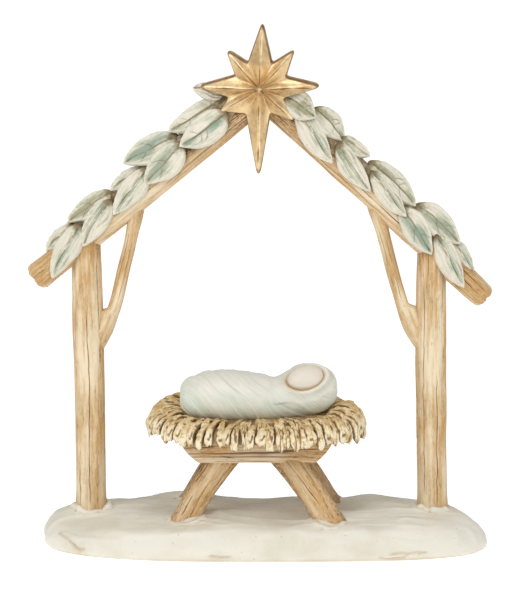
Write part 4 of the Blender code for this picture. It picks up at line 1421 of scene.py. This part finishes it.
def make_trough(sizes, material):
    """A shallow plank trough whose ends slope in to a narrower bottom, grained along its length."""
    bottom = sizes.ground_height + sizes.leg_height
    middle = bottom + sizes.trough_depth / 2
    angle = circle(132)
    c, s = np.cos(angle), np.sin(angle)
    section = rounded_box(c, s, 14)
    up, out = s * section, c * section
    end, end_along = np.array(TROUGH_END).T
    body = np.linspace(-1, 1, 130) * 0.985
    share = np.concatenate([end, np.ones_like(body), end[::-1]])[:, None]
    along = np.concatenate([-end_along, body, end_along[::-1]])[:, None]
    y = (TROUGH_HALF_DEPTH + 0.0015 * up) * out * share
    lift = up * share
    half_length = TROUGH_HALF_LENGTH + TROUGH_FLARE * lift + 0.0016 * (1 - lift**2)
    half_length = half_length - 0.0012 * clamp(-lift - 0.6)
    x = sizes.manger_x + along * half_length
    z = middle - 0.0007 + lift * (sizes.trough_depth / 2 + 0.0003)
    points = joined(x, y, z)
    fibre = points[..., (1, 2, 0)] + (0, 0, 3.0)
    streak = soft_noise(fibre * (760, 760, 26), 17)
    groove = line_of(streak, 0.15, 1.3)
    lines = soft_noise(fibre * (260, 330, 15), 23)
    crack = line_of(lines, 0.075)
    outward = unit(joined(0, out, up))
    lump = layered_noise(points * (60, 140, 140), 2, 4)
    relief = 0.00045 * lump - sizes.grain_depth * groove - 0.00060 * crack
    points = points + outward * (relief * (share > 0.85))[..., None]
    hollow = clamp(0.55 * groove + 1.0 * crack)
    ridge = clamp(0.5 + 0.5 * streak - hollow)
    # The trough is darker all over, more towards its top and where its lumps rise.
    stain_and_shade = clamp(0.62 + 0.3 * lump + 0.5 * up)
    fields = {"fibre": fibre, "hollow": hollow, "ridge": ridge, "stain_and_shade": stain_and_shade}
    dress(closed_grid("trough", points, fields, material))


def make_legs(sizes, material):
    """Four stout legs with long grain, splayed from under the trough into the ground."""
    top_z = sizes.ground_height + sizes.leg_height + LEG_IN_TROUGH
    for number, (name, foot_x, foot_y, half) in enumerate(MANGER_LEGS):
        x_sign, y_sign = math.copysign(1, foot_x), math.copysign(1, foot_y)
        foot_x += sizes.manger_x
        foot = np.array((foot_x, foot_y, ground_at(foot_x, foot_y, sizes)))
        top = np.array((sizes.manger_x + x_sign * LEG_HEAD[0], y_sign * LEG_HEAD[1], top_z))
        foot = foot + unit(foot - top) * LEG_IN_GROUND
        make_stick(
            name, bowed(foot, top, x_sign * 0.001), material, sizes,
            ((0, 0.12, 0.4, 0.75, 1), (half * 1.08, half, half * 0.98, half * 1.04, half * 1.12)),
            cracks=LEG_CRACKS, seed=101 + 5 * number, rings=84, columns=76, squash=0.70, corner=2.6,
            gnarl=0.12,
            # The legs are darker all over, with painted shade at their tops under the trough, and darker
            # still at their feet and on their left and right sides.
            stain_and_shade=lambda share, out: (
                0.62 + 0.5 * step_between(0.72, 0.92, share) + 0.2 * step_between(0.2, 0.1, share)
                + 0.8 * step_between(0.80, 0.35, np.abs(out[..., 1]))
            ),
        )


# The straw

# The straw's half length and half width, and how far it sinks into the trough
STRAW_HALF = (0.0625, 0.0410)
STRAW_SUNK = 0.0030

# A tuft's middle line: shares of its length, how far out it reaches and how high
TUFT_LINE = (
    (0.00, -0.0170, -0.0034),
    (0.22, -0.0110, 0.0002),
    (0.42, -0.0050, 0.0012),
    (0.58, -0.0006, 0.0000),
    (0.74, 0.0018, -0.0034),
    (0.88, 0.0028, -0.0077),
    (1.00, 0.0031, -0.0118),
)


def straw_levels(sizes):
    """The heights of the straw's underside and of its top."""
    bottom = sizes.ground_height + sizes.leg_height + sizes.trough_depth - STRAW_SUNK
    return bottom, bottom + sizes.straw_thickness


def straw_line(angle, inset):
    """A point of the straw's oval rim, drawn in by the inset, and its outward direction."""
    half_length, half_width = (half - inset for half in STRAW_HALF)
    c, s = np.cos(angle), np.sin(angle)
    x = half_length * signed_power(c, 0.86)
    y = half_width * signed_power(s, 0.86)
    out = unit(joined(x / half_length**2, y / half_width**2, 0))
    return x, y, out


def straw_tilt(angle):
    """How much the straw's top rises at the back and drops at the front."""
    rise = np.where(np.sin(angle) > 0, 0.0050 * (1 - 0.75 * np.cos(angle)), 0.0058)
    return rise * np.sin(angle)


def make_tuft_form(name, seed, strands):
    """A fat tongue of straw along Y that bends over the rim and hangs, pitted and ragged at its end."""
    rings, upper, lower = 27, 22, 6
    share = np.linspace(0, 1, rings)[:, None] ** 0.85
    turn = np.linspace(0, math.pi, upper, endpoint=False)
    turn = np.concatenate([turn, np.linspace(math.pi, 2 * math.pi, lower, endpoint=False)])
    angle = turn[None, :] + 0 * share
    across = np.cos(angle)
    strand = np.floor(np.clip((across + 1) / 2, 0, 0.999) * strands)
    inside = (across + 1) / 2 * strands - strand
    end = 0.90 + 0.10 * cell_value(joined(strand, 0, 0), seed)
    end = end + 0.05 * soft_noise(joined(across * 2.4, 0, seed), seed + 1)
    along = share * end
    y, z = smooth_table(TUFT_LINE, along)
    near_y, near_z = smooth_table(TUFT_LINE, along + 0.01)
    size = np.hypot(near_y - y, near_z - z)
    normal_y, normal_z = -(near_z - z) / size, (near_y - y) / size
    width = np.interp(share, (0, 0.3, 0.6, 0.85, 1), (0.0012, 0.0021, 0.0025, 0.0029, 0.0028))
    thick = np.interp(share, (0, 0.25, 0.5, 0.85, 1), (0.0010, 0.0022, 0.0027, 0.0028, 0.0022))
    blunt = np.sqrt(clamp(1 - np.clip((share - 0.88) / 0.12, 0, 0.93) ** 2))
    ends = np.sqrt(clamp(share * 14)) * blunt
    round_strand = np.sqrt(clamp(1 - (2 * inside - 1) ** 2))
    split = step_between(0.10, 0.40, share) * (strands > 1)
    top = clamp(np.sin(angle)) ** 0.7
    fibre = joined(across * 0.0026, along * 0.034, 0.01 * seed)
    pit = step_between(0.30, 0.62, soft_noise(fibre * (760, 330, 1) + (9, 0, seed), seed + 4))
    pit = pit * step_between(0.30, 0.55, share)
    lumps = soft_noise(fibre * (430, 210, 1), seed + 8)
    lumps = lumps + 0.5 * soft_noise(fibre * (900, 420, 1), seed + 11)
    rise = thick * top * (1 - 0.42 * split * (1 - round_strand)) * ends
    under = thick * 0.7 * np.sin(angle) * ends
    rise = np.where(np.sin(angle) < 0, under, rise + (0.00055 * lumps - 0.00080 * pit) * blunt * top**0.5)
    middle = ((strand + 0.5) / strands * 2 - 1) * width
    ragged = 1 + 0.16 * soft_noise(joined(share * 7, np.sign(across), 0), seed + 2)
    x = across * width * ragged
    x = middle + (x - middle) * np.interp(share, (0.92, 1), (1, 0.74))
    x = x * np.sqrt(clamp(share * 14)) + 0.0006 * np.sin(along * 3 + seed)
    points = joined(x, y + normal_y * rise, z + normal_z * rise)
    gap = (1 - round_strand) ** 1.6 * split
    hollow = 0.9 * gap + 0.85 * pit + 0.35 * step_between(0.2, 0.9, -lumps) + np.abs(across) ** 6
    hollow = clamp(hollow) * step_between(0.02, 0.3, share)
    # The underside, hidden under the tuft, gets painted shade.
    hollow = np.where(np.sin(angle) < 0, 0.95, hollow)
    fields = {
        "fibre": fibre, "hollow": hollow,
        "tip": step_between(0.52, 0.90, share) * (1 - 0.5 * hollow) * (np.sin(angle) >= 0),
    }
    last = (0, float(y[-1].mean()), float(z[-1].mean()) + 0.0006)
    return closed_grid(name, points, fields, None, last=last)


def rim_angles(count, inset):
    """Angles that give evenly spaced points round the straw's oval."""
    turn = np.linspace(0, 2 * math.pi, 721)
    run = run_along(joined(*straw_line(turn, inset)[:2]))
    return np.interp(np.arange(count) / count * run[-1], run, turn)


# The straw pad's profile: shares of the way over it, of its reach and of its height
PAD_PROFILE = (
    (0.00, 0.02, 0.93),
    (0.18, 0.40, 0.93),
    (0.36, 0.70, 0.90),
    (0.50, 0.86, 0.84),
    (0.62, 0.94, 0.62),
    (0.74, 0.94, 0.34),
    (0.86, 0.86, 0.16),
    (1.00, 0.30, 0.14),
)

# The two layers of tufts: how many fewer than the size says, their inset, their rise and their size
TUFT_LAYERS = ((0, 0.0034, -0.0026, 1.0), (8, 0.0082, -0.0004, 0.82))
TUFT_SEED = 27

# How many straws each of the tufts' forms holds
TUFT_STRANDS = (1, 2, 1, 3, 1, 2)


def make_straw_pad(sizes, material):
    """The pad of straw that the child lies on."""
    bottom, top = straw_levels(sizes)
    angle = circle(240)[None, :]
    reach, lift = (v + 0 * angle for v in smooth_table(PAD_PROFILE, np.linspace(0, 1, 36)[:, None]))
    x, y, out = straw_line(angle + 0 * reach, 0.0010)
    points = joined(sizes.manger_x + x * reach, y * reach, bottom + (top - bottom) * lift)
    points[..., 2] += straw_tilt(angle) * reach * lift
    split = soft_noise(joined(np.cos(angle) * 34, np.sin(angle) * 34, reach * 4), 6)
    points = points + out * (0.0009 * split * step_between(0.3, 0.9, reach))[..., None]
    points[..., 2] += 0.0007 * split * (lift > 0.5) * step_between(0.1, 0.5, reach)
    # The pad lies under the tufts and gets painted shade, lighter where its surface splits.
    fields = {
        "fibre": joined(angle * 0.05, reach * 0.05, 0), "hollow": clamp(0.75 - 0.5 * split),
        "tip": 0 * reach, "tone": 0 * reach,
    }
    dress(closed_grid("straw_pad", points, fields, material))


def make_straw_tufts(sizes, material):
    """The tufts of straw that hang over the rim all round, in two layers."""
    top = straw_levels(sizes)[1]
    chance = np.random.default_rng(TUFT_SEED)
    points = []
    for layer, (fewer, inset, rise, size) in enumerate(TUFT_LAYERS):
        count = sizes.tuft_count - fewer
        for spin in rim_angles(count, inset):
            spin += 2 * math.pi / count * (0.5 * layer + chance.uniform(-0.22, 0.22))
            x, y, out = straw_line(np.array(spin), inset)
            height = top + rise + float(straw_tilt(np.array(spin))) * 0.9 + chance.uniform(-0.0005, 0.0006)
            along = Matrix.Rotation(chance.uniform(-0.16, 0.16), 3, "Z") @ Vector(out)
            along = along + Vector((0, 0, chance.uniform(-0.10, 0.10)))
            wide, long = size * chance.uniform(0.70, 1.30), size * chance.uniform(0.92, 1.08)
            # The tufts at the two ends hang lower, most of all at the right.
            hang = 1 + 0.10 * abs(math.cos(spin)) ** 3 + 0.26 * max(0.0, math.cos(spin)) ** 3
            points.append((
                (sizes.manger_x + float(x), float(y), height), turn_of(along, Vector((0, 0, 1))),
                (wide, long, long * hang * chance.uniform(0.76, 0.92)),
                int(chance.integers(0, len(TUFT_STRANDS))), chance.random(),
            ))
    forms = [make_tuft_form(f"tuft_form_{n}", 5 + 3 * n, strands) for n, strands in enumerate(TUFT_STRANDS)]
    dress(scatter("straw_tufts", points, forms, material, 260.0, 0.0020, 2))


# The child

# How far the bundle sinks into the straw, and lies to the right of the manger's middle
CHILD_SUNK = 0.0082
CHILD_SHIFT = 0.0012

# Where the face is along the bundle, and its tilt to the front and rise to the head in degrees
FACE_PLACE = 0.795
FACE_TILT = 44
FACE_RISE = 28

# The face's half length and half width, and its depth, as shares of the bundle's width
FACE_SHARES = (0.262, 0.188)
FACE_DEPTH = 0.15


def child_points(share, angle, sizes):
    """Points on the bundle. The angle is 0 at the top and grows towards the front."""
    top, under, half_width = smooth_table(CHILD_SECTIONS, share)
    base = straw_levels(sizes)[1] - CHILD_SUNK
    centre = base + sizes.child_height * (top + under) / 2
    half_height = sizes.child_height * (top - under) / 2
    half_width = sizes.child_width / 2 * half_width
    power = np.where(share < 0.5, 4.0, 3.0)
    round_end = clamp(1 - np.abs(2 * share - 1) ** power) ** (1 / power)
    s, c = np.sin(angle), np.cos(angle)
    x = sizes.manger_x + CHILD_SHIFT + sizes.child_length * (share - 0.5)
    y = -signed_power(s, 0.86) * half_width * round_end
    z = centre + signed_power(c, 0.86) * half_height * round_end
    return joined(x, y, z)


def face_frame(sizes):
    """Where the face sits on the hood, as a matrix: X along the face's length, Z out of it."""
    tilt, rise = math.radians(FACE_TILT), math.radians(FACE_RISE)
    out = Vector((0, -math.sin(tilt), math.cos(tilt)))
    length = Vector((math.cos(rise), 0, math.sin(rise)))
    length = (length - out * length.dot(out)).normalized()
    across = out.cross(length)
    on_hood = Vector(child_points(np.array(FACE_PLACE), np.array(tilt), sizes))
    place = on_hood - out * FACE_DEPTH * sizes.child_width * 0.55
    return Matrix.Translation(place) @ Matrix((length, across, out)).transposed().to_4x4()


def face_half(sizes):
    """The face's half length and half width."""
    return sizes.child_width * np.array(FACE_SHARES)


def make_bundle(sizes, cloth):
    """The swaddled bundle with its wrapped folds, its rolled hood and the hollow for the face."""
    colatitude = np.linspace(0.02, math.pi - 0.02, 184)[:, None]
    share = (1 - np.cos(colatitude)) / 2
    angle = (circle(216) - math.pi)[None, :] + 0 * share
    share = share + 0 * angle
    points = child_points(share, angle, sizes)
    normals = grid_normals(points)

    local = moved(points, face_frame(sizes).inverted())
    half = face_half(sizes)
    oval = np.hypot(local[..., 0] / half[0], local[..., 1] / half[1])
    oval = np.where(local[..., 2] > -0.004, oval, 9.0)

    wrapped = 1 - step_between(0.50, 0.64, share) * step_between(2.6, 1.7, oval)
    warp = 1.25 * soft_noise(points * 24, 3) + 0.22 * soft_noise(points * 80, 5)
    turns = share * 9.5 - angle / math.pi * 4.2 + warp
    part = turns % 1.0
    overlap = part - step_between(0.90, 1.0, part)
    scratch_place = joined(turns * 7.5, share * 2 + angle * 0.5, 0)
    scratch = layered_noise(scratch_place, 2, 12)
    sharp = line_of(scratch, 0.16)
    taper = clamp(np.sin(colatitude) * 2.2)
    strength = 0.25 + 1.5 * cell_value(joined(np.floor(turns), 0, 0), 8) ** 1.6
    strength = strength * (0.75 + 0.5 * soft_noise(points * 60, 9))
    relief = strength * (overlap - 0.4) + 0.18 * scratch - 0.15 * sharp
    relief = sizes.fold_depth * relief * wrapped * taper
    swell = soft_noise(joined(turns * 1.3, share * 3, 0), 6)
    relief = relief + 0.0009 * swell * wrapped * taper
    hollow = (0.32 * sharp + 0.75 * strength * mound(part - 0.97, 0.040)) * wrapped * taper
    ridge = step_between(0.60, 0.90, part) * wrapped * 0.6 * clamp(strength)

    rim = mound(oval - 1.22, 0.085)
    chest = 1 - step_between(-0.2, 0.5, local[..., 0] / half[0])
    under_rim = mound(oval - 1.48, 0.12) * (1 - 0.6 * chest)
    second = mound(oval - 2.05, 0.22) * (share < 0.86)
    gap = 1 - step_between(1.00, 1.12, oval)
    relief = relief + 0.0012 * rim * (1 - 0.5 * chest) - 0.0006 * under_rim + 0.0006 * second
    relief = relief - 0.0024 * gap
    hood = step_between(0.60, 0.70, share) * step_between(1.5, 2.0, oval)
    sweep = joined(oval * 2.2, share * 9, angle * 1.2)
    relief = relief + 0.00045 * layered_noise(sweep, 2, 21) * hood
    # Under the hood's rim the cloth gets painted shade.
    hollow = clamp(hollow + 0.45 * under_rim * step_between(0.5, 0.7, share))
    ridge = clamp(ridge * (oval > 2.0) + 0.45 * rim)
    points = points + normals * relief[..., None]

    height = points[..., 2]
    near_straw = 1 - step_between(0.0745, 0.0820, height + 0.0012 * soft_noise(points * 170, 15))
    # The gap round the face and the hood's inside, most at its upper left, get painted shade; the cloth is
    # also darker near the straw.
    upper_left = step_between(0.2, -0.6, local[..., 0] / half[0] - 0.5 * local[..., 1] / half[1])
    stain_and_shade = 0.85 * gap + 0.75 * mound(oval - 1.05, 0.07 + 0.14 * upper_left) + 0.42 * near_straw
    stain_and_shade = clamp(stain_and_shade)
    hollow = clamp(hollow + 0.16 * near_straw)
    tone = 0.8 - 0.8 * step_between(0.076, 0.096, height) + 0.55 * step_between(0.25, 0.0, share)
    fields = {
        "fibre": joined(turns, share * 3 + angle * 0.6, 0), "hollow": hollow, "ridge": ridge,
        "stain_and_shade": stain_and_shade, "tone": clamp(tone),
    }
    dress(closed_grid("swaddled_child", points, fields, cloth))

def make_face(sizes, ivory):
    """The smooth blank oval in the hood's hollow."""
    colatitude = np.linspace(0.03, math.pi - 0.03, 50)[:, None]
    spin = circle(90)[None, :]
    x, y = np.sin(colatitude) * np.cos(spin), np.sin(colatitude) * np.sin(spin)
    z = np.cos(colatitude) + 0 * spin
    half = face_half(sizes)
    egg = joined(x * half[0], y * half[1] * (1 + 0.06 * x), z * (sizes.child_width * FACE_DEPTH))
    # The rim, sunk in the hood's hollow, gets painted shade.
    fields = {"stain_and_shade": 1 - step_between(0.12, 0.42, z)}
    dress(closed_grid("face", moved(egg, face_frame(sizes)), fields, ivory))


# The stage

FLOOR_RADII = (0.3, 0.8, 2.0, 5.0, 16.0)
OBJECT_MIDDLE = (0, 0, 0.14)

# The soft lights: the place, the power in watts and the width
LIGHTS = {
    "key": ((-0.75, -1.0, 1.15), 8.2, 0.7),
    "fill": ((0.95, -0.9, 0.85), 2.9, 0.9),
    "top": ((0.1, -0.35, 1.35), 3.0, 0.55),
}

# The camera that the photo was worked out to be taken with
CAMERA_PLACE = (0, -1.6, 0.375)
CAMERA_TARGET = (0, 0, 0.1445)
CAMERA_LENS = 166.6


def make_floor(colours):
    """A wide pale floor that glows a little, as a lit studio sweep does."""
    paint = Paint("studio_floor", colours.floor)
    paint.shader["Emission Color"].default_value = (1.0, 1.0, 1.0, 1.0)
    paint.shader["Emission Strength"].default_value = 0.80
    columns = 64
    turns = circle(columns)
    points = [(r * math.cos(a), r * math.sin(a), -0.0002) for r in FLOOR_RADII for a in turns]
    faces = [tuple(range(columns))]
    for inner in range(0, columns * (len(FLOOR_RADII) - 1), columns):
        outer = inner + columns
        for start in range(columns):
            beyond = (start + 1) % columns
            faces.append((inner + start, outer + start, outer + beyond, inner + beyond))
    mesh = bpy.data.meshes.new("studio_floor")
    mesh.from_pydata(points, [], faces)
    mesh.materials.append(paint.finish(0.9))
    place_object("studio_floor", mesh)


def look_from(obj, place, target):
    """Sets a light or camera down at a place, facing the target."""
    obj.location = place
    obj.rotation_euler = (Vector(target) - Vector(place)).to_track_quat("-Z", "Y").to_euler()


def light_stage():
    """A white surround and three soft lights."""
    world = bpy.data.worlds.new("studio")
    world.use_nodes = True
    background = world.node_tree.nodes["Background"].inputs
    background["Color"].default_value = (1.0, 1.0, 1.0, 1.0)
    background["Strength"].default_value = 0.50
    bpy.context.scene.world = world
    bpy.context.scene.view_settings.view_transform = "Standard"
    for name, (place, power, width) in LIGHTS.items():
        light = bpy.data.lights.new(name, "AREA")
        light.energy, light.size = power, width
        look_from(place_object(name, light), place, OBJECT_MIDDLE)


def set_camera():
    """The camera at the photo's viewpoint."""
    camera = bpy.data.cameras.new("photo_view")
    camera.sensor_width = 36.0
    camera.lens = CAMERA_LENS
    camera.shift_x = -1 / 600
    camera.clip_start, camera.clip_end = 0.1, 20.0
    viewer = place_object("photo_view", camera)
    look_from(viewer, CAMERA_PLACE, CAMERA_TARGET)
    bpy.context.scene.camera = viewer


# The add-on's operators and panel


def settings(context):
    """The sizes and colours that the panel shows."""
    return context.scene.figurine_sizes, context.scene.figurine_colours


class FIGURINE_OT_ground(bpy.types.Operator):
    """Builds the cream ground with its dents and the collars round the feet"""

    bl_idname = "figurine.ground"
    bl_label = "Ground"
    bl_options = {"REGISTER", "UNDO"}

    def execute(self, context):
        sizes, colours = settings(context)
        make_ground(sizes, paint_ground(colours))
        return {"FINISHED"}


class FIGURINE_OT_timber(bpy.types.Operator):
    """Builds the posts, the roof poles, the branches and the manger of carved timber"""

    bl_idname = "figurine.timber"
    bl_label = "Stable and Manger"
    bl_options = {"REGISTER", "UNDO"}

    def execute(self, context):
        sizes, colours = settings(context)
        timber = paint_timber(colours)
        make_timber(sizes, timber)
        make_trough(sizes, timber)
        make_legs(sizes, timber)
        return {"FINISHED"}


class FIGURINE_OT_garlands(bpy.types.Operator):
    """Builds the two garlands of leaves that run down the roof poles"""

    bl_idname = "figurine.garlands"
    bl_label = "Leaf Garlands"
    bl_options = {"REGISTER", "UNDO"}

    def execute(self, context):
        sizes, colours = settings(context)
        leaf_paint = paint_leaves(colours)
        for side in GARLANDS:
            make_garland(side, sizes, leaf_paint)
            make_garland_core(side, sizes, leaf_paint)
        return {"FINISHED"}


class FIGURINE_OT_star(bpy.types.Operator):
    """Builds the gilt star at the apex"""

    bl_idname = "figurine.star"
    bl_label = "Star"
    bl_options = {"REGISTER", "UNDO"}

    def execute(self, context):
        sizes, colours = settings(context)
        make_star(sizes, paint_star(colours))
        return {"FINISHED"}


class FIGURINE_OT_straw(bpy.types.Operator):
    """Builds the pad of straw with the tufts that hang over its rim"""

    bl_idname = "figurine.straw"
    bl_label = "Straw"
    bl_options = {"REGISTER", "UNDO"}

    def execute(self, context):
        sizes, colours = settings(context)
        straw_paint = paint_straw(colours)
        make_straw_pad(sizes, straw_paint)
        make_straw_tufts(sizes, straw_paint)
        return {"FINISHED"}


class FIGURINE_OT_child(bpy.types.Operator):
    """Builds the swaddled child and its smooth face"""

    bl_idname = "figurine.child"
    bl_label = "Swaddled Child"
    bl_options = {"REGISTER", "UNDO"}

    def execute(self, context):
        sizes, colours = settings(context)
        make_bundle(sizes, paint_cloth(colours))
        make_face(sizes, paint_face(colours))
        return {"FINISHED"}


class FIGURINE_OT_stage(bpy.types.Operator):
    """Builds the pale floor, the soft lights and the camera"""

    bl_idname = "figurine.stage"
    bl_label = "Stage"
    bl_options = {"REGISTER", "UNDO"}

    def execute(self, context):
        make_floor(settings(context)[1])
        light_stage()
        set_camera()
        return {"FINISHED"}


OPERATORS = (
    FIGURINE_OT_ground,
    FIGURINE_OT_timber,
    FIGURINE_OT_garlands,
    FIGURINE_OT_star,
    FIGURINE_OT_straw,
    FIGURINE_OT_child,
    FIGURINE_OT_stage,
)


class FIGURINE_PT_panel(bpy.types.Panel):
    """Lists the figurine's builders, sizes and colours"""

    bl_idname = "FIGURINE_PT_panel"
    bl_label = "Nativity Figurine"
    bl_space_type = "VIEW_3D"
    bl_region_type = "UI"
    bl_category = "Figurine"

    def draw(self, context):
        layout = self.layout
        for operator in OPERATORS:
            layout.operator(operator.bl_idname)
        for group in (context.scene.figurine_sizes, context.scene.figurine_colours):
            box = layout.box()
            for name in group.__annotations__:
                box.prop(group, name)


CLASSES = (FigurineSizes, FigurineColours, *OPERATORS, FIGURINE_PT_panel)


def register():
    for cls in CLASSES:
        bpy.utils.register_class(cls)
    bpy.types.Scene.figurine_sizes = PointerProperty(type=FigurineSizes)
    bpy.types.Scene.figurine_colours = PointerProperty(type=FigurineColours)


def unregister():
    del bpy.types.Scene.figurine_colours
    del bpy.types.Scene.figurine_sizes
    for cls in reversed(CLASSES):
        bpy.utils.unregister_class(cls)


def main():
    register()
    bpy.ops.figurine.ground()
    bpy.ops.figurine.timber()
    bpy.ops.figurine.garlands()
    bpy.ops.figurine.star()
    bpy.ops.figurine.straw()
    bpy.ops.figurine.child()
    bpy.ops.figurine.stage()


if __name__ == "__main__":
    main()
